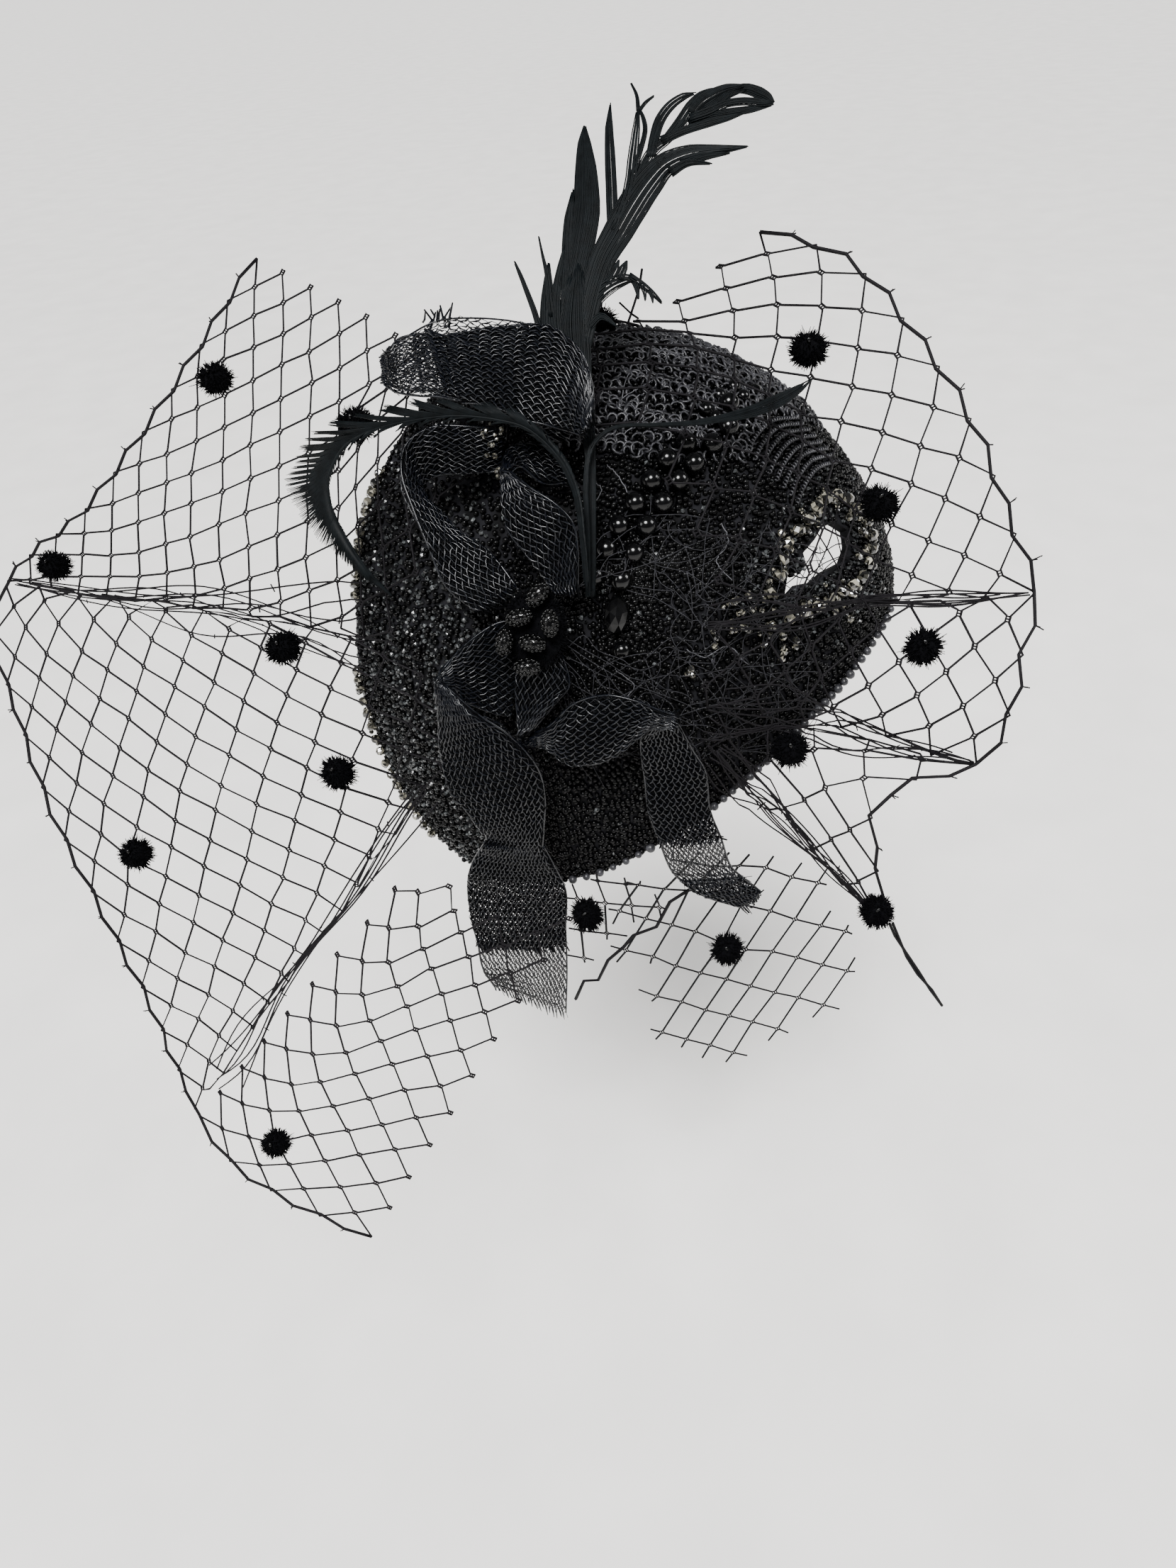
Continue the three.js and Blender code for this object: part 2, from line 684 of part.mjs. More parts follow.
// The left feather arches over the loops and curls down at its end.
const leftFeather = table("across up lift half", [
  [18, 5, 13, 0.8],
  [16.5, 14, 16.5, 0.8],
  [14.5, 27, 20.5, 1],
  [12, 32, 23, 1.4],
  [7, 38, 26.5, 2],
  [1, 41, 30, 2.6],
  [-6, 41, 33.5, 3],
  [-13, 41, 36, 3.6],
  [-21, 40.5, 37, 4.2],
  [-30, 40, 37, 4.6],
  [-39, 40, 34, 4.4],
  [-45, 34, 29, 3.6],
  [-48, 26, 24, 2.8],
  [-49, 20, 20, 1.8],
  [-46, 14, 17.5, 0.6],
]);
addPiece("left_feather", blade(leftFeather, onCap, outOfCap, 28), "feather");

const rightFeather = table("across up lift half", [
  [19.5, 6, 9.5, 0.8],
  [19.5, 24, 12, 0.8],
  [19, 37, 16, 1],
  [22, 43, 17, 1.6],
  [30, 45.5, 15, 2.4],
  [38, 47, 14, 2.6],
  [45, 48, 14, 2.6],
  [52, 49, 15, 2.4],
  [59, 51, 17, 1.8],
  [66, 56.5, 20, 0.5],
]);
addPiece("right_feather", blade(rightFeather, onCap, outOfCap, 18), "feather");

// ---- the net: strips with scalloped edges, falling back from the flower in soft folds ----
function netPoint(bearing, reach, rise) {
  const across = reach * Math.cos(radians(bearing));
  const up = reach * Math.sin(radians(bearing));
  const out = netRoot - netFall * reach - netLean * Math.max(up, 0) + (rise * reach) / netRiseAt;
  return clearOfCap(boardPoint(across, up, out), netClear);
}

function netNormal(bearing, reach, rise) {
  const here = netPoint(bearing, reach, rise);
  const round = netPoint(bearing + 1, reach, rise).sub(here);
  const inward = netPoint(bearing, reach - 1, rise).sub(here);
  const normal = round.cross(inward).normalize();
  return normal.dot(flowerWay) < 0 ? normal.negate() : normal;
}

const edgeColumns = "bearing reach rise";

// The fold's rise at a bearing, found along the net's edge.
function riseAt(edgeAt, bearing) {
  const turning = edgeAt(1).bearing > edgeAt(0).bearing ? 1 : -1;
  let [low, high] = [0, 1];
  for (let k = 0; k < 20; k += 1) {
    const t = (low + high) / 2;
    if ((edgeAt(t).bearing - bearing) * turning < 0) low = t;
    else high = t;
  }
  return edgeAt(low).rise;
}

// An open lattice with square cells on their points. The crossing nearest to each dot moves under it.
function netSolid({ edge: edgeRows, columns, rows, inner, dots }) {
  const edgeAt = reader(edgeRows, edgeColumns);
  const pinned = new Map();
  const place = (i, j) => {
    const edge = edgeAt(i / columns);
    return pinned.get(`${i},${j}`) ?? { ...edge, reach: mix(edge.reach, inner, j / rows) };
  };
  const pointAt = ([i, j]) => {
    const at = place(i, j);
    return netPoint(at.bearing, at.reach, at.rise);
  };
  const normalAt = ([i, j]) => {
    const at = place(i, j);
    return netNormal(at.bearing, at.reach, at.rise);
  };
  const crossings = [];
  const cells = [];
  for (let i = 0; i <= columns; i += 1) {
    for (let j = 0; j <= rows; j += 1) {
      if ((i + j) % 2 === 1) {
        const ring = [[i - 1, j], [i, j + 1], [i + 1, j], [i, j - 1]];
        cells.push(ring.filter(([u, v]) => u >= 0 && u <= columns && v >= 0 && v <= rows));
      } else if (i > 0 && i < columns && j > 0 && j < rows) crossings.push([i, j]);
    }
  }
  for (const dot of dots) {
    const under = { ...dot, rise: riseAt(edgeAt, dot.bearing) };
    const foot = netPoint(under.bearing, under.reach, under.rise);
    const far = (crossing) => pointAt(crossing).distanceTo(foot);
    const nearest = crossings.reduce((best, next) => (far(next) < far(best) ? next : best));
    pinned.set(`${nearest[0]},${nearest[1]}`, under);
  }
  const points = [];
  const known = new Map();
  const addPair = (point, normal) => {
    points.push(point.clone().addScaledVector(normal, netThick / 2));
    points.push(point.clone().addScaledVector(normal, -netThick / 2));
    return points.length - 2;
  };
  const corner = (at) => {
    const key = `${at[0]},${at[1]}`;
    if (!known.has(key)) known.set(key, addPair(pointAt(at), normalAt(at)));
    return known.get(key);
  };
  const faces = [];
  const quad = (a, b, c, d) => faces.push([a, b, c], [a, c, d]);
  const rims = new Map();
  for (const ring of cells) {
    const corners = ring.map(pointAt);
    const middle = corners.reduce((sum, p) => sum.add(p), new THREE.Vector3()).divideScalar(ring.length);
    const normal = ring.reduce((sum, at) => sum.add(normalAt(at)), new THREE.Vector3()).normalize();
    let area = 0;
    let round = 0;
    corners.forEach((p, k) => {
      const next = corners[(k + 1) % corners.length];
      area += p.clone().sub(middle).cross(next.clone().sub(middle)).length() / 2;
      round += p.distanceTo(next);
    });
    const open = 1 - (netBar / 2) * (round / (2 * area));
    const outer = ring.map(corner);
    const closed = open < leastOpen;
    const heart = closed ? addPair(middle, normal) : 0;
    const inset = closed ? [] : corners.map((p) => addPair(middle.clone().lerp(p, open), normal));
    outer.forEach((here, k) => {
      const turn = (k + 1) % outer.length;
      const next = outer[turn];
      if (closed) {
        faces.push([here, next, heart], [next + 1, here + 1, heart + 1]);
      } else {
        quad(here, next, inset[turn], inset[k]);
        quad(next + 1, here + 1, inset[k] + 1, inset[turn] + 1);
        quad(inset[k], inset[turn], inset[turn] + 1, inset[k] + 1);
      }
      if (rims.has(`${next},${here}`)) rims.delete(`${next},${here}`);
      else rims.set(`${here},${next}`, [next, here, here + 1, next + 1]);
    });
  }
  for (const rim of rims.values()) quad(...rim);
  return geometryOf(points, faces);
}

const nets = {
  net_left: {
    columns: 18,
    rows: 8,
    inner: 42,
    edge: table(edgeColumns, [
      [135, 158, -4],
      [147, 148, 4],
      [159, 150, 6],
      [170, 165, 3],
      [177, 196, -5],
      [184, 214, -9],
      [192, 203, -3],
      [202, 194, 5],
      [213, 195, 6],
      [223, 212, 0],
      [230, 238, -6],
      [237, 252, -3],
      [244, 246, 2],
      [252, 247, 0],
    ]),
    dots: table("bearing reach", [
      [149, 131],
      [177, 175],
      [210, 163],
      [241, 221],
      [188, 82],
      [217, 79],
      [138, 70],
    ]),
  },
  net_right: {
    columns: 10,
    rows: 4,
    inner: 42,
    edge: table(edgeColumns, [
      [64, 124, 0],
      [52, 130, 3],
      [38, 128, 5],
      [24, 129, 5],
      [13, 131, 1],
      [3, 137, -6],
      [-4, 134, 0],
      [-12, 134, 1],
      [-19, 131, -6],
      [-25, 113, 0],
      [-32, 111, 2],
      [-43, 136, -6],
    ]),
    dots: table("bearing reach", [
      [46, 100],
      [18, 95],
      [-4, 104],
      [-26, 74],
      [-42, 130],
    ]),
  },
  net_cheek: {
    columns: 4,
    rows: 4,
    inner: 84,
    edge: table(edgeColumns, [
      [-47, 134, -26],
      [-53, 150, -28],
      [-59, 158, -28],
      [-65, 163, -28],
      [-71, 164, -28],
      [-79, 150, -28],
      [-86, 131, -28],
    ]),
    dots: table("bearing reach", [
      [-64, 118],
      [-85, 94],
    ]),
  },
};

// A fluffy dot: a ball whose surface goes in and out as its tufts do.
const tuft = 0.45;
const dotSeat = netThick / 2 + gap + 0.9;

function fluffyDot(middle) {
  const ball = new THREE.IcosahedronGeometry(dotRadius, 1);
  ball.deleteAttribute("normal");
  ball.deleteAttribute("uv");
  const merged = mergeVertices(ball, 1e-3);
  const at = merged.getAttribute("position");
  const point = new THREE.Vector3();
  for (let k = 0; k < at.count; k += 1) {
    point.fromBufferAttribute(at, k).setLength(dotRadius + (k % 2 === 0 ? tuft : -tuft));
    at.setXYZ(k, point.x + middle.x, point.y + middle.y, point.z + middle.z);
  }
  return merged;
}

let dotCount = 0;
function addDot(foot, normal, seat) {
  dotCount += 1;
  const middle = foot.clone().addScaledVector(normal, dotRadius + tuft + seat);
  addPiece(`dot_${String(dotCount).padStart(2, "0")}`, fluffyDot(middle), "chenille");
}

for (const [name, net] of Object.entries(nets)) {
  addPiece(name, netSolid(net), "net");
  const edgeAt = reader(net.edge, edgeColumns);
  for (const { bearing, reach } of net.dots) {
    const rise = riseAt(edgeAt, bearing);
    addDot(netPoint(bearing, reach, rise), netNormal(bearing, reach, rise), dotSeat);
  }
}
const crownDot = { across: 10, up: 98 };
addDot(capPoint(crownDot.across, crownDot.up, 0), capNormal(crownDot.across, crownDot.up), gap);

// ---- the hair comb, bent to the head's curve inside the cap ----
const comb = { across: 38, up: 52, wide: 44, spine: 7, tooth: 17, teeth: 8, thick: 1.4, sink: 2 };

function combShape() {
  const pitch = comb.wide / (2 * comb.teeth - 1);
  const left = (k) => -comb.wide / 2 + 2 * k * pitch;
  const shape = new THREE.Shape();
  shape.moveTo(left(0), comb.spine);
  for (let k = 0; k < comb.teeth; k += 1) {
    shape.lineTo(left(k), -comb.tooth);
    shape.lineTo(left(k) + pitch, -comb.tooth);
    if (k === comb.teeth - 1) break;
    shape.lineTo(left(k) + pitch, 0);
    shape.lineTo(left(k + 1), 0);
  }
  for (let k = comb.teeth - 1; k > 0; k -= 1) shape.lineTo(left(k) + pitch, comb.spine);
  return shape;
}

const combGeometry = new THREE.ExtrudeGeometry(combShape(), { depth: comb.thick, bevelEnabled: false });
const combAt = combGeometry.getAttribute("position");
for (let k = 0; k < combAt.count; k += 1) {
  const lift = combAt.getZ(k) - capWall - comb.sink - comb.thick;
  const bent = capPoint(comb.across + combAt.getX(k), comb.up + combAt.getY(k), lift);
  combAt.setXYZ(k, bent.x, bent.y, bent.z);
}
addPiece("hair_comb", combGeometry, "comb");

export default group;
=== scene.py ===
import math

import bmesh
import bpy
import numpy as np
from mathutils import Matrix, Vector


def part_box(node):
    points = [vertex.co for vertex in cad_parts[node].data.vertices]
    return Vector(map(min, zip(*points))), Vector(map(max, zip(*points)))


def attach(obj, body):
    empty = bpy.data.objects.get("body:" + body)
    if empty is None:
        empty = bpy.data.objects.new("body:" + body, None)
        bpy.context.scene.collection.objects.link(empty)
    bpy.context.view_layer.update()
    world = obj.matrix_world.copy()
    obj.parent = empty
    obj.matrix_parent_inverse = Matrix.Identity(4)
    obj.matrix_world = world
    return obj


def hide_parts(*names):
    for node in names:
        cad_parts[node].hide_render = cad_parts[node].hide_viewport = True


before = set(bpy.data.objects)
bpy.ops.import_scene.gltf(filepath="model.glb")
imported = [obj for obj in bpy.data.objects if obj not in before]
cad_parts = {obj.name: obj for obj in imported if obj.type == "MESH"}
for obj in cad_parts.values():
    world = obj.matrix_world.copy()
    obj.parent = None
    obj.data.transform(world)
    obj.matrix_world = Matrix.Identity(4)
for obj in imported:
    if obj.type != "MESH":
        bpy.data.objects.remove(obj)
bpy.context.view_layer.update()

# Places are worked out in millimetres and turned to metres as a mesh is made.
mm = 0.001
draw = np.random.default_rng(11)


# ---- small helpers ----
def unit(v):
    v = np.asarray(v, float)
    return v / np.maximum(np.linalg.norm(v, axis=-1, keepdims=True), 1e-12)


def table(names, rows):
    return dict(zip(names.split(), np.array(rows, float).T))


def linear(hexColour):
    parts = [((hexColour >> shift) & 255) / 255 for shift in (16, 8, 0)]
    return tuple(p / 12.92 if p <= 0.04045 else ((p + 0.055) / 1.055) ** 2.4 for p in parts) + (1.0,)


# A smooth line through the points, read at shares from 0 to 1 of its rows.
def curveThrough(points, share, even=False):
    points = np.asarray(points, float)
    share = np.atleast_1d(np.asarray(share, float))
    longer = np.vstack([2 * points[0] - points[1], points, 2 * points[-1] - points[-2]])
    place = np.clip(share, 0, 1) * (len(points) - 1)
    k = np.minimum(place.astype(int), len(points) - 2)
    w = (place - k)[:, None]
    p0, p1, p2, p3 = (longer[k + step] for step in range(4))
    if even:
        t1, t2 = (p2 - p0) / 2, (p3 - p1) / 2
    else:
        d0, d1, d2 = (np.maximum(np.linalg.norm(q - p, axis=1, keepdims=True), 1e-8) ** 0.5
                      for p, q in ((p0, p1), (p1, p2), (p2, p3)))
        t1 = d1 * ((p1 - p0) / d0 - (p2 - p0) / (d0 + d1) + (p2 - p1) / d1)
        t2 = d1 * ((p2 - p1) / d1 - (p3 - p1) / (d1 + d2) + (p3 - p2) / d2)
    return p1 + t1 * w + (3 * (p2 - p1) - 2 * t1 - t2) * w**2 + (2 * (p1 - p2) + t1 + t2) * w**3


def smoothLine(points, count):
    return curveThrough(points, np.linspace(0, 1, count))


# Shares of a line that lie the same distance apart along it.
def evenShares(line, count):
    walked = np.concatenate([[0], np.cumsum(np.linalg.norm(np.diff(line, axis=0), axis=1))])
    shares = np.interp(np.linspace(0, walked[-1], count), walked, np.linspace(0, 1, len(line)))
    return shares, walked[-1]


def flatPlace(bearing, reach):
    return reach * np.array([math.cos(math.radians(bearing)), math.sin(math.radians(bearing))])


# True for the places that lie inside a ring of corners.
def insideRing(across, up, ring):
    inside = np.zeros(np.shape(across), bool)
    for (x0, y0), (x1, y1) in zip(ring, np.roll(ring, -1, axis=0)):
        inside ^= ((y0 > up) != (y1 > up)) & (across < (x1 - x0) * (up - y0) / (y1 - y0 + 1e-12) + x0)
    return inside


# ---- the head's shape, the cap's polar places and the flat board that touches it at the flower ----
cap = {"wall": 2.5, "crownHigh": 89, "sideDeep": 130, "halfWide": 83, "halfLong": 103,
       "poleTurn": -145, "poleRise": 35, "flowerTurn": -160.7, "flowerRise": 25.6, "headRadius": 88}
headMiddle = np.array([0, 0, cap["wall"] - cap["crownHigh"]], float)
topHalf = np.array([cap["halfWide"], cap["halfLong"], cap["crownHigh"]], float)
lowHalf = np.array([cap["halfWide"], cap["halfLong"], cap["sideDeep"]], float)


def wayTo(turn, rise):
    turn, rise = math.radians(turn), math.radians(rise)
    return np.array([math.cos(rise) * math.cos(turn), math.cos(rise) * math.sin(turn), math.sin(rise)])


def halfFor(way):
    return np.where(way[..., 2:3] < 0, lowHalf, topHalf)


def surfaceAt(way, lift):
    way = np.asarray(way, float)
    half = halfFor(way)
    point = way / np.linalg.norm(way / half, axis=-1, keepdims=True)
    return point + headMiddle + unit(point / half / half) * np.asarray(lift, float)[..., None]


flowerWay = wayTo(cap["flowerTurn"], cap["flowerRise"])
acrossWay = unit(np.cross([0, 0, 1], flowerWay))
upWay = np.cross(flowerWay, acrossWay)
flowerFoot = surfaceAt(flowerWay, 0)


def capPoint(across, up, lift):
    across, up = np.broadcast_arrays(np.asarray(across, float), np.asarray(up, float))
    far = np.maximum(np.hypot(across, up), 1e-9)
    turn = far / cap["headRadius"]
    side = acrossWay * across[..., None] + upWay * up[..., None]
    return surfaceAt(flowerWay * np.cos(turn)[..., None] + side * (np.sin(turn) / far)[..., None], lift)


def onCap(spots, lift):
    spots = np.asarray(spots, float)
    return capPoint(spots[:, 0], spots[:, 1], lift)


def capNormal(across, up):
    return unit(capPoint(across, up, 1.0) - capPoint(across, up, 0.0))


def boardPoint(across, up, out):
    across, up, out = (np.asarray(v, float)[..., None] for v in (across, up, out))
    return flowerFoot + acrossWay * across + upWay * up + flowerWay * out


# The place of a point of the cap, counted from the flower's middle.
def placeOn(points):
    way = unit(points - headMiddle)
    along = np.clip(way @ flowerWay, -1, 1)
    side = unit(way - along[..., None] * flowerWay)
    far = np.arccos(along) * cap["headRadius"]
    return far * (side @ acrossWay), far * (side @ upWay)


def clearOfCap(point, least):
    way = point - headMiddle
    floor = surfaceAt(unit(way), least)
    inside = np.linalg.norm(way, axis=-1) < np.linalg.norm(floor - headMiddle, axis=-1)
    return np.where(inside[..., None], floor, point)


capEdge = table("bearing span", [
    [0, 66], [22, 71], [45, 73], [68, 68], [90, 61], [115, 55], [141, 51], [164, 52], [185, 56], [205, 68], [222, 78],
    [236, 79], [250, 67], [268, 54], [290, 46], [315, 45], [338, 51]])
capPole = wayTo(cap["poleTurn"], cap["poleRise"])
capSide = unit(np.cross([0, 0, 1], capPole))
capTop = np.cross(capPole, capSide)


def capSpanAt(bearing):
    turn = np.mod(bearing, 360)
    k = np.searchsorted(capEdge["bearing"], turn, side="right") - 1
    count = len(capEdge["bearing"])
    start = capEdge["bearing"][k]
    t = (turn - start) / np.mod(capEdge["bearing"][(k + 1) % count] - start, 360)
    a, b, c, d = (capEdge["span"][(k + step) % count] for step in (-1, 0, 1, 2))
    return b + 0.5 * ((c - a) * t + (2 * a - 5 * b + 4 * c - d) * t**2 + (3 * b - a - 3 * c + d) * t**3)


def capSpot(span, bearing, lift):
    span, bearing = np.radians(span), np.radians(bearing)
    ring = np.sin(span)[..., None]
    way = (capPole * np.cos(span)[..., None] + capSide * ring * np.cos(bearing)[..., None]
           + capTop * ring * np.sin(bearing)[..., None])
    return surfaceAt(way * halfFor(way), lift)


# ---- materials ----
def addNode(tree, kind, settings=None, links=None):
    node = tree.nodes.new(kind)
    for name, value in (settings or {}).items():
        if isinstance(name, str) and hasattr(node, name):
            setattr(node, name, value)
        else:
            node.inputs[name].default_value = value
    for name, socket in (links or {}).items():
        tree.links.new(socket, node.inputs[name])
    return node


def blankMaterial(name):
    material = bpy.data.materials.new(name)
    material.use_nodes = True
    tree = material.node_tree
    tree.nodes.clear()
    return material, tree


def finishMaterial(tree, colour, roughness, settings, height=None, bumpDeep=0.1):
    shader = addNode(tree, "ShaderNodeBsdfPrincipled", settings)
    for socket, value in (("Base Color", colour), ("Roughness", roughness)):
        if isinstance(value, bpy.types.NodeSocket):
            tree.links.new(value, shader.inputs[socket])
        else:
            shader.inputs[socket].default_value = value
    if height is not None:
        bump = addNode(tree, "ShaderNodeBump", {"Strength": 0.7, "Distance": bumpDeep * mm}, {"Height": height})
        tree.links.new(bump.outputs[0], shader.inputs["Normal"])
    addNode(tree, "ShaderNodeOutputMaterial", None, {"Surface": shader.outputs[0]})


def ramp(tree, factor, stops):
    node = addNode(tree, "ShaderNodeValToRGB", None, {"Fac": factor})
    elements = node.color_ramp.elements
    while len(elements) < len(stops):
        elements.new(0.5)
    for element, (place, hexColour) in zip(elements, stops):
        element.position, element.color = place, linear(hexColour)
    return node.outputs[0]


def spread(tree, factor, low, high):
    return addNode(tree, "ShaderNodeMapRange", {"To Min": low, "To Max": high}, {"Value": factor}).outputs[0]


def noise(tree, grain, detail=3.0):
    # grain is the size of one blotch in millimetres
    place = addNode(tree, "ShaderNodeTexCoord").outputs["Object"]
    return addNode(tree, "ShaderNodeTexNoise", {"Scale": 1000 / grain, "Detail": detail}, {"Vector": place}).outputs[0]


# A finish that follows each facet's tone, or else its own blotches, between two colours and two roughnesses.
def variedMaterial(name, dark, light, rough, grain, refraction, specular, useTone=False, bumpDeep=0.05):
    material, tree = blankMaterial(name)
    blotch = noise(tree, grain)
    factor = addNode(tree, "ShaderNodeAttribute", {"attribute_name": "tone"}).outputs["Fac"] if useTone else blotch
    low, high = (0.0, 1.0) if useTone else (0.3, 0.7)
    finishMaterial(tree, ramp(tree, factor, [(low, dark), (high, light)]), spread(tree, blotch, *rough),
                   {"IOR": refraction, "Specular IOR Level": specular}, blotch, bumpDeep)
    return material


# Cotton buckram, stiffened and dyed black: an even plain weave, dull, with the odd thicker thread.
def buckramMaterial():
    material, tree = blankMaterial("woven_cotton_buckram")
    place = addNode(tree, "ShaderNodeTexCoord").outputs["Object"]
    weave = {"thread": 0.9, "dark": 0x060607, "light": 0x161619}  # drawn coarser than the real 0.5 mm thread to show
    bands = {"Scale": 31.4 / weave["thread"], "Distortion": 1.2, "Detail": 1.0}
    waves = [addNode(tree, "ShaderNodeTexWave", {"bands_direction": way, **bands}, {"Vector": place}).outputs["Fac"]
             for way in ("X", "Y", "Z")]
    first = addNode(tree, "ShaderNodeMath", {"operation": "MULTIPLY"}, {0: waves[0], 1: waves[2]}).outputs[0]
    woven = addNode(tree, "ShaderNodeMath", {"operation": "MAXIMUM"}, {0: first, 1: waves[1]}).outputs[0]
    finishMaterial(tree, ramp(tree, woven, [(0.1, weave["dark"]), (0.9, weave["light"])]),
                   spread(tree, noise(tree, 6.0), 0.7, 0.9), {"IOR": 1.5, "Specular IOR Level": 0.1}, woven, 0.3)
    return material


# name, dark and light colour, roughness from and to, blotch in mm, refraction, specular level, follows tone, bump in mm
finishes = {
    # pressed seed glass with a grey lustre: its light and dark facets are painted reflection, set by each facet's tone
    "seedGrey": ("lustred_seed_glass", 0x030304, 0x5f6263, (0.05, 0.2), 1.0, 1.6, 0.3, True),
    # small black seed beads, worn dull: soft round highlights
    "seedBlack": ("black_seed_beads", 0x010101, 0x0b0b0d, (0.18, 0.4), 1.5, 1.5, 0.12, True),
    # waxed rayon cord: dull black with a faint sheen along it
    "cord": ("waxed_rayon_cord", 0x141416, 0x36363a, (0.3, 0.45), 1.0, 1.5, 0.4),
    # spun polyester sewing thread, washed out to grey
    "looseThread": ("grey_polyester_thread", 0x3a3a3d, 0x5c5c60, (0.5, 0.7), 1.0, 1.5, 0.3),
    # polished jet glass: near black with one sharp highlight
    "jet": ("polished_jet_glass", 0x020202, 0x040405, (0.13, 0.2), 3.0, 1.6, 0.24, False, 0.01),
    # small jet beads on the berries: duller, so that each keeps its own point of light
    "berryJet": ("dulled_jet_glass", 0x010101, 0x030303, (0.12, 0.2), 1.0, 1.55, 0.2, False, 0.01),
    # cut crystal, clear with a champagne foil behind it: its bright and dark facets side by side are painted
    # reflection, set by each facet's tone
    "crystal": ("cut_crystal_glass", 0x060605, 0xbdb8a6, (0.02, 0.08), 2.0, 1.65, 0.8, True),
    # extruded nylon monofilament, dyed blue-black: each strand has a bright streak where it bends
    "crin": ("nylon_crin_monofilament", 0x010205, 0x080b12, (0.2, 0.34), 2.0, 1.53, 0.33),
    # painted shade: the same monofilament made darker and duller for the inner layers, where it lies folded inside, out
    # of the light
    "crinShade": ("shaded_crin_monofilament", 0x010102, 0x030406, (0.6, 0.8), 2.0, 1.53, 0.05),
    # twisted rayon net thread: dull, faintly brown
    "netThread": ("twisted_rayon_net", 0x070608, 0x121013, (0.55, 0.75), 1.0, 1.47, 0.12),
    # painted light: the net's own thread made greyer where it lies crumpled over the cap and catches the light; dull
    "litNetThread": ("lit_rayon_net", 0x161618, 0x2c2c30, (0.6, 0.8), 1.0, 1.47, 0.2),
    # cut chenille pile: the deepest black, lighter only at its tips
    "chenille": ("cut_chenille_pile", 0x020203, 0x09090b, (0.85, 1.0), 1.2, 1.45, 0.04),
    # dyed cock and goose feather: satin barbs with a cool green-blue cast
    "feather": ("dyed_feather_barbs", 0x040607, 0x0b0f11, (0.42, 0.56), 2.5, 1.54, 0.07),
    # moulded cellulose acetate comb: smooth, slightly clouded
    "comb": ("moulded_acetate_comb", 0x101012, 0x1c1c1f, (0.24, 0.36), 5.0, 1.48, 0.5, False, 0.02),
    # matt painted board, barely mottled
    "floor": ("matt_painted_board", 0xe4e2df, 0xeceae7, (0.85, 0.95), 60.0, 1.45, 0.5),
}
materials = {"buckram": buckramMaterial()}
materials.update({key: variedMaterial(*finish) for key, finish in finishes.items()})
print("materials", len(materials))


# ---- making pieces ----
def addObject(name, data):
    thing = bpy.data.objects.new(name, data)
    bpy.context.scene.collection.objects.link(thing)
    return thing


def meshFrom(shape, name):
    mesh = bpy.data.meshes.new(name)
    shape.to_mesh(mesh)
    shape.free()
    return mesh


def addPiece(name, mesh, material, standsFor=(), smooth=True):
    mesh.name = name
    mesh.materials.clear()
    mesh.materials.append(materials[material])
    mesh.polygons.foreach_set("use_smooth", [smooth] * len(mesh.polygons))
    mesh.update()
    piece = addObject(name, mesh)
    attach(piece, "root")
    if standsFor:
        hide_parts(*standsFor)
    print(f"piece {name}: {sum(len(face.vertices) - 2 for face in mesh.polygons)} triangles")
    return piece


# Many threads as one mesh: four-sided tubes along the paths, in millimetres. A taper is a share for each point.
def threadMesh(paths, radius, tapers=None):
    curve = bpy.data.curves.new("threads", "CURVE")
    curve.dimensions, curve.fill_mode = "3D", "FULL"
    curve.bevel_depth, curve.bevel_resolution, curve.use_fill_caps = radius * mm, 0, True
    for k, path in enumerate(paths):
        spline = curve.splines.new("POLY")
        spline.points.add(len(path) - 1)
        spline.points.foreach_set("co", np.column_stack([path * mm, np.ones(len(path))]).ravel())
        if tapers is not None:
            spline.points.foreach_set("radius", np.asarray(tapers[k], float))
    holder = addObject("threads", curve)
    mesh = bpy.data.meshes.new_from_object(holder.evaluated_get(bpy.context.evaluated_depsgraph_get()))
    bpy.data.objects.remove(holder)
    bpy.data.curves.remove(curve)
    welded = bmesh.new()
    welded.from_mesh(mesh)
    bmesh.ops.remove_doubles(welded, verts=welded.verts[:], dist=1e-7)  # the end caps join their tubes
    welded.to_mesh(mesh)
    welded.free()
    return mesh


def shapeArrays(make):
    shape = bmesh.new()
    make(shape)
    bmesh.ops.triangulate(shape, faces=shape.faces[:])
    points = np.array([vert.co[:] for vert in shape.verts])
    faces = np.array([[vert.index for vert in face.verts] for face in shape.faces])
    shape.free()
    return points, faces


# One small shape repeated: middles in millimetres, turns as 3x3 frames, sizes as radii, tones from 0 to 1.
def repeated(shape, middles, turns, sizes, tones, facetPower=2.0):
    points, faces = shape
    sizes = np.broadcast_to(np.asarray(sizes, float).reshape(len(middles), -1), (len(middles), 3))
    placed = np.einsum("nij,nkj->nki", turns, points[None] * sizes[:, None]) + np.asarray(middles)[:, None]
    mesh = bpy.data.meshes.new("repeated")
    allFaces = (faces[None] + np.arange(len(middles))[:, None, None] * len(points)).reshape(-1, 3)
    mesh.from_pydata((placed.reshape(-1, 3) * mm).tolist(), [], allFaces.tolist())
    # painted reflection: each facet lies somewhere between dark and its piece's own tone, mostly dark with a few
    # bright, standing in for the light and dark surroundings each facet of glass mirrors
    facets = np.repeat(tones, len(faces)) * draw.uniform(size=len(faces) * len(middles)) ** facetPower
    attribute = mesh.attributes.new("tone", "FLOAT", "FACE")
    attribute.data.foreach_set("value", facets.astype(np.float32))
    return mesh


def randomTurns(count):
    q = unit(draw.normal(size=(count, 4)))
    w, x, y, z = q.T
    return np.stack([np.stack([1 - 2 * (y * y + z * z), 2 * (x * y - w * z), 2 * (x * z + w * y)], -1),
                     np.stack([2 * (x * y + w * z), 1 - 2 * (x * x + z * z), 2 * (y * z - w * x)], -1),
                     np.stack([2 * (x * z - w * y), 2 * (y * z + w * x), 1 - 2 * (x * x + y * y)], -1)], 1)


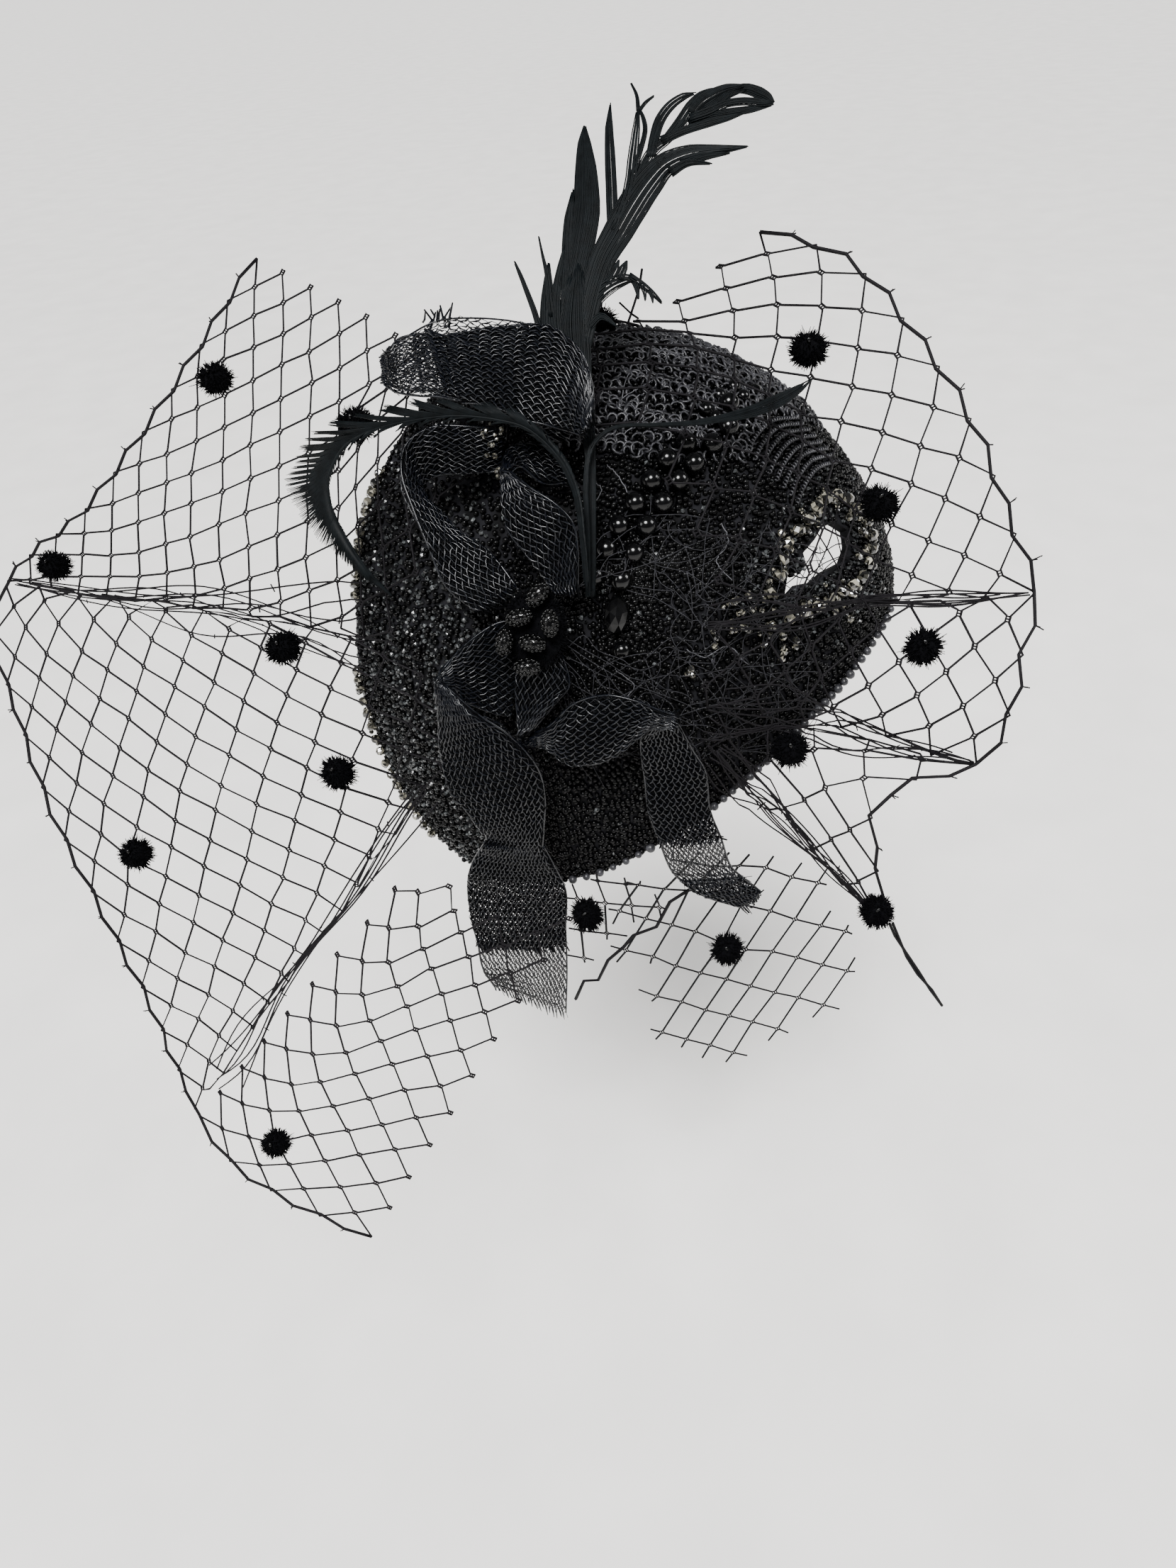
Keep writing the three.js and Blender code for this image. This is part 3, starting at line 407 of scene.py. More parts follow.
def sphere(fine):
    return shapeArrays(lambda shape: bmesh.ops.create_icosphere(shape, subdivisions=fine, radius=1.0))


# One stretched ball.
def ball(fine, middle, turn, sizes, tone=0.0):
    return repeated(sphere(fine), middle[None], turn[None], [sizes], np.array([tone]))


seedShape = sphere(1)
cutShape = shapeArrays(lambda shape: bmesh.ops.create_uvsphere(shape, u_segments=8, v_segments=4, radius=1.0))


def middleOf(node):
    low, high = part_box(node)
    return np.array((low + high) / 2) / mm


# A sheet from a grid of places: bmesh makes the grid and each vertex is moved to its place.
def gridSheet(columns, rows, placeOf, thick=0.0):
    shape = bmesh.new()
    bmesh.ops.create_grid(shape, x_segments=columns, y_segments=rows, size=0.5)
    flat = np.array([vert.co[:] for vert in shape.verts]) + 0.5
    for vert, point in zip(shape.verts, placeOf(flat[:, 0], flat[:, 1]) * mm):
        vert.co = point
    bmesh.ops.remove_doubles(shape, verts=shape.verts[:], dist=1e-6)
    if thick:
        shape.normal_update()
        outward = sum(face.normal.dot(face.calc_center_median() - Vector(headMiddle * mm)) for face in shape.faces)
        bmesh.ops.solidify(shape, geom=shape.faces[:], thickness=math.copysign(thick * mm, outward))
        bmesh.ops.recalc_face_normals(shape, faces=shape.faces[:])
    return meshFrom(shape, "sheet")


# ---- camera, light and floor ----
view = {"place": (-314, -183, 106.5), "right": (0.474, -0.878, -0.066), "up": (0.552, 0.238, 0.799),
        "forward": (0.686, 0.415, -0.598), "lens": 27.05}
camera = addObject("camera", bpy.data.cameras.new("camera"))
camera.data.sensor_fit, camera.data.sensor_height, camera.data.lens = "VERTICAL", 36, view["lens"]
camera.data.clip_start = 0.01
axes = Matrix([view["right"], view["up"], [-v for v in view["forward"]]]).transposed().to_4x4()
camera.matrix_world = Matrix.Translation(Vector(view["place"]) * mm) @ axes
bpy.context.scene.camera = camera

stageLook = {"floorHigh": -0.42, "floorHalf": 40.0, "skyColour": 0xf2f4f7, "skyPower": 0.2, "sunPower": 7.4,
             "sunSpread": 24, "sunFrom": (-0.75, -0.25, 1.25), "boxesAt": (-0.05, 0, -0.08)}
floorShape = bmesh.new()
bmesh.ops.create_grid(floorShape, x_segments=1, y_segments=1, size=stageLook["floorHalf"])
floorMesh = meshFrom(floorShape, "floor")
floorMesh.transform(Matrix.Translation((0, 0, stageLook["floorHigh"])))
floorMesh.materials.append(materials["floor"])
addObject("floor", floorMesh)

world = bpy.data.worlds.new("studio")
world.use_nodes = True
sky = world.node_tree.nodes["Background"].inputs
sky["Color"].default_value, sky["Strength"].default_value = linear(stageLook["skyColour"]), stageLook["skyPower"]
bpy.context.scene.world = world
# one wide soft key from above the wearer's right, and two small softboxes for the beads' highlights
key = addObject("key", bpy.data.lights.new("key", "SUN"))
key.data.energy, key.data.angle = stageLook["sunPower"], math.radians(stageLook["sunSpread"])
key.rotation_euler = (-Vector(stageLook["sunFrom"])).to_track_quat("-Z", "Y").to_euler()
softboxes = [((0.5, -1.2, 0.8), 16, 0.6), ((-1.2, 0.8, 0.7), 12, 0.6)]  # place, watts, size
for k, (place, watts, size) in enumerate(softboxes):
    light = bpy.data.lights.new(f"softbox{k}", "AREA")
    light.energy, light.size = watts, size
    lamp = addObject(f"softbox{k}", light)
    lamp.location = place
    lamp.rotation_euler = (Vector(stageLook["boxesAt"]) - Vector(place)).to_track_quat("-Z", "Y").to_euler()
print("camera, light and floor")

# ---- the cap: a smooth buckram shell with a cut-out ----
shellLook = {"sectors": 144, "rings": 34, "cutBelow": 3, "cutAbove": 4}
cutOutline = table("across up", [
    [84, 28], [89, 26], [89, 21], [86, 16], [79, 13], [75, 10], [70, 9], [66, 5], [67, 11], [73, 14], [72, 18],
    [76, 22], [79, 26]])
shellMesh = gridSheet(shellLook["sectors"], shellLook["rings"],
                      lambda x, y: capSpot(capSpanAt(x * 360) * y, x * 360, 0.0), cap["wall"])
plugShape = bmesh.new()
lowRim = capPoint(cutOutline["across"], cutOutline["up"], -cap["wall"] - shellLook["cutBelow"]) * mm
highRim = capPoint(cutOutline["across"], cutOutline["up"], shellLook["cutAbove"]) * mm
lowFace = plugShape.faces.new([plugShape.verts.new(point) for point in lowRim])
raised = [part for part in bmesh.ops.extrude_face_region(plugShape, geom=[lowFace], use_keep_orig=True)["geom"]
          if isinstance(part, bmesh.types.BMVert)]
for vert in raised:
    vert.co = highRim[int(np.argmin(np.linalg.norm(lowRim - np.array(vert.co), axis=1)))]
bmesh.ops.recalc_face_normals(plugShape, faces=plugShape.faces[:])
plug = addObject("plug", meshFrom(plugShape, "plug"))
capShell = addPiece("cap_shell", shellMesh, "buckram", ["cap"])
cutter = capShell.modifiers.new("cutOut", "BOOLEAN")
cutter.operation, cutter.solver, cutter.object = "DIFFERENCE", "EXACT", plug
cutMesh = bpy.data.meshes.new_from_object(capShell.evaluated_get(bpy.context.evaluated_depsgraph_get()))
capShell.modifiers.clear()
capShell.data = cutMesh
bpy.data.objects.remove(plug)

# ---- seed beads over the whole cap, in rows that follow its rim ----
seedLook = {"rowApart": 1.85, "beadApart": 1.9, "rows": 70, "inside": 1.0, "stray": 0.35, "radius": (0.72, 1.12),
            "ringRadius": 96, "innermost": 0.6, "sunk": 0.55, "cutRoom": 1.0, "roundRoom": 3.9, "ovalRoom": 4.2}
# grey ones grow in number towards the left edge and near the cut-out, and a few lie everywhere
greyLook = {"size": 0.82, "from": -6, "to": -24, "most": 0.55, "cutAt": (80, 18), "cutReach": 28, "cutFade": 22,
            "cutMost": 0.4, "least": 0.02}
seeds = []
turnPerRow = math.degrees(seedLook["rowApart"] / seedLook["ringRadius"])
bearing = np.linspace(0, 360, 721)
for row in range(seedLook["rows"]):
    inward = seedLook["inside"] + row * turnPerRow
    line = capSpot(np.maximum(capSpanAt(bearing) - inward, 0.01), bearing, 0.0)
    count = max(1, int(evenShares(line, 2)[1] / seedLook["beadApart"]))
    at = evenShares(line, count + 1)[0][:-1] * 360 + draw.uniform(0, 1)
    spans = capSpanAt(at) - inward
    keep = spans > seedLook["innermost"]
    if not keep.any():
        break
    seeds.append(capSpot(spans[keep], at[keep], 0.0))
seeds = np.vstack(seeds)
seeds = seeds + draw.normal(0, seedLook["stray"], seeds.shape)


def insideOutline(across, up, grow=0.0):
    ring = np.column_stack([cutOutline["across"], cutOutline["up"]])
    return insideRing(across, up, ring + unit(ring - ring.mean(axis=0)) * grow)


roundNames = [f"round_bead_{k:02d}" for k in range(1, 17)]
roundMiddles = np.array([middleOf(name) for name in roundNames])
seedAcross, seedUp = placeOn(seeds)
keep = ~insideOutline(seedAcross, seedUp, seedLook["cutRoom"])
for middle in roundMiddles:
    keep &= np.linalg.norm(seeds - middle, axis=1) > seedLook["roundRoom"]
keep &= np.linalg.norm(seeds - middleOf("oval_bead"), axis=1) > seedLook["ovalRoom"]
seeds, seedAcross, seedUp = seeds[keep], seedAcross[keep], seedUp[keep]
radii = draw.uniform(*seedLook["radius"], len(seeds))
seeds = surfaceAt(unit(seeds - headMiddle), radii * seedLook["sunk"])
leftShare = np.clip((greyLook["from"] - seedAcross) / (greyLook["from"] - greyLook["to"]), 0, 1) * greyLook["most"]
nearCut = np.hypot(seedAcross - greyLook["cutAt"][0], seedUp - greyLook["cutAt"][1])
cutShare = np.clip((greyLook["cutReach"] - nearCut) / greyLook["cutFade"], 0, greyLook["cutMost"])
isGrey = draw.uniform(size=len(seeds)) < np.maximum(np.maximum(leftShare, cutShare), greyLook["least"])
radii[isGrey] *= greyLook["size"]
turns = randomTurns(len(seeds))
tones = 0.25 + 0.75 * draw.uniform(size=len(seeds))
for name, these, finish in (("grey", isGrey, "seedGrey"), ("black", ~isGrey, "seedBlack")):
    addPiece(f"seed_beads_{name}", repeated(seedShape, seeds[these], turns[these], radii[these], tones[these]),
             finish, smooth=name == "black")

# ---- round jet beads, the large oval and the crystals ----
beadLook = {"round": 3.0, "oval": (5.4, 3.5, 3.3), "ovalTone": 0.2, "low": 2.6}
count = len(roundNames)
addPiece("round_beads", repeated(sphere(3), roundMiddles, randomTurns(count), [beadLook["round"]] * count,
                                 np.zeros(count)), "jet", roundNames)


def turnOn(across, up, slant):
    out = capNormal(across, up)
    side = unit(np.cross(upWay, out))
    over = np.cross(out, side)
    c, s = math.cos(math.radians(slant)), math.sin(math.radians(slant))
    return np.column_stack([side * c + over * s, over * c - side * s, out])


addPiece("oval_bead_cut", ball(2, middleOf("oval_bead"), turnOn(22, 1, 84), beadLook["oval"], beadLook["ovalTone"]),
         "jet", ["oval_bead"], smooth=False)

crystalLook = {"radius": 1.9, "small": (0.8, 1.3), "each": 4, "scatter": 2.6, "cutRoom": 0.5, "lift": 0.4,
               "tone": (0.4, 1), "facetPower": 4.5}


def addCrystals(name, middles, turns, sizes, tones, standsFor=(), facetPower=crystalLook["facetPower"]):
    addPiece(name, repeated(cutShape, middles, turns, sizes, tones, facetPower), "crystal", standsFor, False)


# Small ones scattered about each spot.
def scatterCrystals(name, spots, each, scatter, lift, sizes, tones):
    spots = np.repeat(np.array(spots, float), each, axis=0)
    spots = spots + draw.normal(0, scatter, spots.shape)
    count = len(spots)
    addCrystals(name, onCap(spots, lift), randomTurns(count), draw.uniform(*sizes, count), draw.uniform(*tones, count))


crystalStretches = {
    "crystals_left": [[61, 7], [63.5, 11], [64.5, 15.5], [66, 20], [69.5, 23.5], [73, 27]],
    "crystals_top": [[76, 31], [80, 34], [84.5, 35.5], [89, 35], [93, 32.5]],
    "crystals_right": [[97, 29], [98, 24.5], [96.5, 20], [94.5, 15.5], [91, 11.5]],
    "crystals_bottom": [[87, 9], [83, 7], [79, 5], [75, 3], [71, 1.5], [66.5, 0]],
}
for name, spots in crystalStretches.items():
    spots = np.array(spots, float)
    small = np.repeat(spots, crystalLook["each"], axis=0)
    small = small + draw.normal(0, crystalLook["scatter"], small.shape)
    small = small[~insideOutline(small[:, 0], small[:, 1], crystalLook["cutRoom"])]
    places = np.vstack([spots, small])
    sizes = np.append(np.full(len(spots), crystalLook["radius"]), draw.uniform(*crystalLook["small"], len(small)))
    addCrystals(f"cut_{name}", onCap(places, sizes + crystalLook["lift"]), randomTurns(len(places)), sizes,
                draw.uniform(*crystalLook["tone"], len(places)), [name])

edgeSpots = [(-11, 44.7), (-9, 43.5), (-6.8, 44), (-9.9, 40.7), (-8.8, 37.8), (-8, 35.4), (-6.7, 33.6), (-12, 43.3)]
scatterCrystals("cut_crystals_edge", edgeSpots, 2, 0.7, 16.0, (0.45, 0.9), (0.3, 0.8))
addPiece("low_bead", ball(3, capPoint(23.5, -8.5, 1.8), randomTurns(1)[0], [beadLook["low"]] * 3), "jet")
# a loose band of small crystals runs from the cut-out down over the beads
bandSpots = [(69, -6), (66, -8), (63, -3), (60, -2), (57, 0), (54, 2), (51, 3), (61, -6), (55, -3), (50, -1),
             (47, -5), (42, -15)]
scatterCrystals("cut_crystals_band", bandSpots, 3, 1.6, 2.0, (0.7, 1.25), (0.3, 1))

rimLook = {"radius": 1.5, "inside": 1.6, "lift": 2.2, "strays": 3, "strayTurn": 1.4, "strayInside": (0.2, 2.6),
           "strayLift": 1.8, "straySize": (0.7, 1.0), "strayRadius": 0.85, "tone": (0.2, 1), "facetPower": 3.0}
for name, first, last, count in (("rim_beads_back", 150, 180, 13), ("rim_beads_low", 196, 224, 16)):
    at = np.linspace(first, last, count)
    big = capSpot(capSpanAt(at) - rimLook["inside"], at, rimLook["lift"])
    strays = count * rimLook["strays"]
    between = np.repeat(at, rimLook["strays"]) + draw.uniform(-rimLook["strayTurn"], rimLook["strayTurn"], strays)
    inside = draw.uniform(*rimLook["strayInside"], strays)
    small = capSpot(capSpanAt(between) - inside, between, rimLook["strayLift"])
    straySizes = draw.uniform(*rimLook["straySize"], strays) * rimLook["strayRadius"]
    sizes = np.append(np.full(count, rimLook["radius"]), straySizes)
    addCrystals(f"glass_{name}", np.vstack([big, small]), randomTurns(len(sizes)), sizes,
                draw.uniform(*rimLook["tone"], len(sizes)), [name], rimLook["facetPower"])
print("beads")

# ---- crin ribbons: bias-woven monofilament that turns back at each edge, in two layers or more ----
# drawn coarser than the real 0.3 mm filament, and thick where it passes over another, for the weave to show
crinLook = {"radius": 0.23, "acrossApart": 0.72, "alongApart": 1.5, "wave": 0.4, "layerApart": 0.6, "over": 1.3,
            "under": 0.45, "stray": 0.12, "ripple": 0.7, "rippleLong": 16, "edge": 1.5, "fold": 1.2,
            "frayed": (0.2, 1.3)}
capEdges = "aAcross aUp aLift bAcross bUp bLift"
# kind of place, crown, layers and the two edges' places, a row for each fold
ribbons = {
    "top_loop": ("folded", [
        ("cap", 0, 1, [[12, 61, 9, 13, 51, 8], [7, 72, 13, 7, 51, 10], [-6, 76, 16, -4, 54, 12],
         [-20, 78, 18, -17, 56, 14], [-33, 77, 20, -29, 57, 16], [-40, 70, 22, -38, 57, 19],
         [-42, 63, 25, -40, 56, 23], [-37, 61, 28, -33, 51, 26]]),
        ("cap", 0, 1, [[-37, 61, 28, -33, 51, 26], [-34, 63, 29, -29, 49.5, 27], [-29, 63.5, 29, -24, 48.5, 27]]),
        ("cap", 0, 2, [[-31, 63.5, 29, -24, 48.5, 27], [-28, 63.3, 29, -20, 48, 27], [-22, 62, 29, -15, 47, 26]]),
        ("cap", 0, 4, [[-27, 64.5, 29, -18, 48, 27], [-20, 61.5, 28.8, -14, 47, 26], [-14, 59.5, 28, -11, 46, 25],
         [-6, 57, 24, -4, 44, 20], [1, 58, 18, 2, 44, 15], [6, 58, 14, 7, 43, 11]]),
        ("cap", 0.1, 4, [[-20, 62.5, 28.5, -14, 46.5, 26], [-12, 62.5, 28, -8, 45.5, 26],
         [-5, 63, 28, -2.5, 43.5, 26], [0.5, 63, 28, 1.5, 41.5, 26], [7, 60.3, 28, 6, 40.6, 25],
         [12.5, 55.5, 27, 9.5, 40.2, 23], [15.2, 49.3, 25, 11.6, 40.3, 21], [16, 44.3, 23, 13.4, 40, 20]])]),
    "left_petal": ("folded", [
        ("cap", 0, 4, [[-8, 46, 13, -9, 37, 9.5], [-16, 45, 18, -17, 36, 12], [-24, 44, 21, -25, 35, 14],
         [-30, 40, 22, -29, 33, 14], [-31, 34, 21, -28, 29, 12], [-28, 26, 19, -22, 23, 10],
         [-24, 17, 17, -14, 19, 9.5], [-20, 8, 15, -8, 14, 9.5], [-13, 2, 12, -3, 8, 9.5]])]),
    "centre_band": ("folded", [
        ("cap", 0.06, 4, [[-6, 34, 16.5, -4, 34, 17.5], [-5, 27, 16, 3, 29, 18], [-4, 21, 14, 8, 26, 17.5],
         [0, 16, 12, 12, 22, 15.5], [4, 11, 10.8, 13, 17, 13], [7, 7, 10, 13, 8, 10.5]]),
        ("cap", 0, 4, [[-6, 33, 16.5, -4, 33, 16.8], [-6, 40, 13, -2, 36, 14], [-1, 44, 9.5, 3, 33, 10.5],
         [5, 42, 7.5, 8, 34, 7.5]])]),
    "bottom_petal": ("folded", [
        ("cap", 0.08, 4, [[-2, -7, 9, 9, -9, 9], [-3, -15, 11, 11, -16, 10.5], [-3, -22, 12, 8, -20, 11],
         [-2, -28, 13.5, 2, -27, 13.5]])]),
    "left_ribbon": ("hung", [
        ("cap", -0.06, 4, [[-3, 0, 9.5, -6, -26, 9], [-8, -1, 11, -9, -25, 11], [-14, -5, 14, -14, -22, 14],
         [-19, -10, 17, -18, -18, 18], [-21, -13, 19.5, -20, -16, 20]]),
        ("cap", 0.04, 4, [[-21, -13.5, 20, -19, -15, 20], [-22, -24, 20, -11, -22, 19],
         [-25, -35, 17, -4, -28, 16.5], [-25, -46, 17, 2, -38, 14], [-21, -57, 16, 2.5, -50, 12],
         [-19, -66, 13, 1, -61, 12], [-19.5, -73, 12, -1, -72, 12]]),
        ("board", 0.03, 4, [[-20, -69, -16.8, -1.5, -69, -14.4], [-26, -78, -23, 0.5, -77, -21],
         [-29.5, -88, -30, 2.5, -87, -29], [-30, -104, -38, 1, -102, -37], [-29.5, -110, -41, 0.7, -109, -40]]),
        ("board", 0, 2, [[-29.5, -109, -41, 0.7, -108, -40], [-29, -121, -46, 0, -120, -45],
         [-26, -129, -50, -2, -138, -54]])]),
    "right_ribbon": ("hung", [
        ("cap", 0.06, 4, [[-4, -32, 10, -3, -33, 10], [6, -26, 14, 4, -34, 11], [13, -19, 15.5, 11, -37, 12],
         [21, -16, 17.5, 18, -36, 13], [28, -17, 18.5, 25, -30, 15], [33, -19, 18.5, 31, -24, 17],
         [36, -20, 18, 35, -23, 17.5]]),
        ("cap", 0.04, 4, [[33, -20, 17.5, 36, -21, 17.5], [29, -27, 14.5, 37, -23, 15],
         [29, -33, 12.5, 41, -31, 12.5], [30, -42, 11, 45, -39, 11], [31, -53, 11, 47, -52, 11],
         [33.5, -62, 12, 50, -61, 12.5]]),
        ("cap", 0.04, 2, [[33.5, -62, 12, 50, -61, 12.5], [37, -74, 13, 53, -72, 14], [40, -78, 14, 56, -75, 16]]),
        ("cap", 0, 3, [[39, -77, 14, 55.5, -74.5, 16], [45, -81.5, 16, 58.5, -77.5, 17.3],
         [55, -86, 18, 60, -79, 18.5]])]),
}


def stripPaths(kind, crown, layers, rows):
    edge = table(capEdges, rows)
    put = capPoint if kind == "cap" else boardPoint
    ends = [put(edge[f"{side}Across"], edge[f"{side}Up"], edge[f"{side}Lift"]) for side in "ab"]
    fine = [smoothLine(end, 300) for end in ends]
    middle = (fine[0] + fine[1]) / 2
    width = np.linalg.norm(fine[0] - fine[1], axis=1).mean()
    long = evenShares(middle, 2)[1]
    alongCount = max(6, int(round(long / crinLook["alongApart"])))
    acrossCount = max(8, int(round(width / crinLook["acrossApart"])))
    shares, _ = evenShares(middle, alongCount + 1)
    a, b = (curveThrough(end, shares) for end in ends)
    middle = (a + b) / 2
    normal = unit(np.cross(np.gradient(middle, axis=0), b - a))
    bow = unit(middle - headMiddle) * (crown * np.linalg.norm(b - a, axis=1))[:, None]
    step = np.arange(alongCount + 1)
    waves = shares * long / crinLook["rippleLong"] + draw.uniform()
    ripple = crinLook["ripple"] * np.sin(2 * math.pi * waves)[:, None]
    faces, folds = [], []  # the layers that show, and those folded between them
    for layer in range(layers):
        for phase in range(layer % 2, 2 * acrossCount, 2):
            turn = (step + phase) % (2 * acrossCount)
            over = np.where(turn <= acrossCount, turn, 2 * acrossCount - turn)
            lean = np.where(turn < acrossCount, 1, -1) * np.where(step % 2 == 0, 1, -1) * crinLook["wave"]
            lean = np.where((over == 0) | (over == acrossCount), 0, lean)
            share = (over / acrossCount)[:, None]
            line = a * (1 - share) + b * share + bow * 4 * share * (1 - share)
            high = (layer - (layers - 1) / 2) * crinLook["layerApart"]
            line = line + normal * ((lean + high)[:, None] + ripple * (1 - 2 * share))
            line = line + draw.normal(0, crinLook["stray"], line.shape)
            frayed = line[-1] + (line[-1] - line[-2]) * draw.uniform(*crinLook["frayed"])
            size = np.where(lean * (1 if high > 0 else -1) > 0, crinLook["over"], crinLook["under"])
            (faces if layer in (0, layers - 1) else folds).append((np.vstack([line, frayed]), np.append(size, 0.5)))
    return faces, folds, [a, b], width, long


for name, (held, strips) in ribbons.items():
    shown, hidden, edges, sizes, foldSizes = [], [], [], [], []
    for strip in strips:
        faces, folds, stripEdges, wide, long = stripPaths(*strip)
        shown += faces
        hidden += folds
        edges += [(edge, np.full(len(edge), crinLook["edge"])) for edge in stripEdges]
        sizes.append((wide, long * min(strip[2], 2)))
        foldSizes.append((wide, long * max(strip[2] - 2, 0)))
    # cut as long as its layers together; its width is the mean over its folds
    flats = []
    for each in (sizes, foldSizes):
        long = sum(s[1] for s in each)
        flats.append((round(sum(s[0] * s[1] for s in each) / long * mm, 4), round(long * mm, 3)))
    if name == "top_loop":  # its cut end is frayed
        for k in range(9):
            tuft = capPoint([-37 + k, -38 + k, -39 + 1.1 * k], [76.5, 79, 81 + k % 3], np.array([19.5, 19.5, 20.5]))
            shown.append((tuft + draw.normal(0, 0.6, (3, 3)), np.array([1.8, 1.6, 1.1])))
    hidden = [(path, np.full(len(path), crinLook["fold"])) for path, _ in hidden]
    # the inner layers take the darker, duller crin finish as painted shade
    for piece, threads, finish, stands, flat in ((f"crin_{name}", shown + edges, "crin", [name], flats[0]),
                                                 (f"crin_shaded_fold_{name}", hidden, "crinShade", (), flats[1])):
        mesh = threadMesh([path for path, _ in threads], crinLook["radius"], [size for _, size in threads])
        addPiece(piece, mesh, finish, stands)
    print(f"  {name} flat {flats}")
print("ribbons")

# ---- the flower's velvet middle and its beaded berries ----
moundLook = {"across": 3, "up": -2, "halfAcross": 8, "halfUp": 10, "halfOut": 1.5, "low": 12.7, "pile": 900,
             "pileRoot": 1.3, "pileLong": (1.1, 1.1, 1.3), "thread": 0.16}
moundTurn = turnOn(moundLook["across"], moundLook["up"], 0)
moundMiddle = capPoint(moundLook["across"], moundLook["up"], moundLook["low"])
moundSizes = [moundLook["halfAcross"], moundLook["halfUp"]]
pileWays = unit(draw.normal(size=(moundLook["pile"], 3)) * [1, 1, 0.7])
pileFeet = pileWays * [*moundSizes, moundLook["pileRoot"]]
pileTips = pileFeet + pileWays * moundLook["pileLong"] + draw.normal(0, 0.25, pileFeet.shape)
pile = [np.array([foot, tip]) @ moundTurn.T + moundMiddle for foot, tip in zip(pileFeet, pileTips)]
addPiece("velvet_pile", threadMesh(pile, moundLook["thread"], [[1, 0.5]] * len(pile)), "chenille")
addPiece("velvet_mound", ball(3, moundMiddle, moundTurn, [*moundSizes, moundLook["halfOut"]]),
         "chenille", ["flower_mound"])

berryLook = {"long": 3.4, "wide": 2.05, "beads": 46, "bead": 0.55}
berries = table("across up slant", [
    [4.6, 6.2, 50], [0.2, 1.2, 15], [7.6, 0, 95], [-3.6, -4.6, 75], [3.4, -4.6, -10], [2, -10.2, 0]])
k = np.arange(berryLook["beads"]) + 0.5
tall, around = 1 - 2 * k / berryLook["beads"], k * math.pi * (3 - math.sqrt(5))
ringAt = np.sqrt(1 - tall**2)
beadSpots = np.column_stack([tall * berryLook["long"], ringAt * np.cos(around) * berryLook["wide"],
                             ringAt * np.sin(around) * berryLook["wide"]])
for number, (across, up, slant) in enumerate(zip(*berries.values()), 1):
    turn, middle = turnOn(across, up, slant), middleOf(f"berry_{number}")
    addPiece(f"berry_core_{number}", ball(2, middle, turn, [berryLook["long"], berryLook["wide"], berryLook["wide"]]),
             "jet")
    spots = beadSpots @ turn.T + middle
    addPiece(f"berry_beads_{number}", repeated(sphere(2), spots, randomTurns(len(spots)),
                                               np.full(len(spots), berryLook["bead"]), np.ones(len(spots))),
             "berryJet", [f"berry_{number}"])
print("flower")

# ---- feathers ----
# The spray's goose blades are flat bundles of long barbs that all run out to one point.
sprayLook = {"apart": 0.3, "barb": 0.25, "cup": 0.3, "ragged": 0.07, "depth": 0.7}
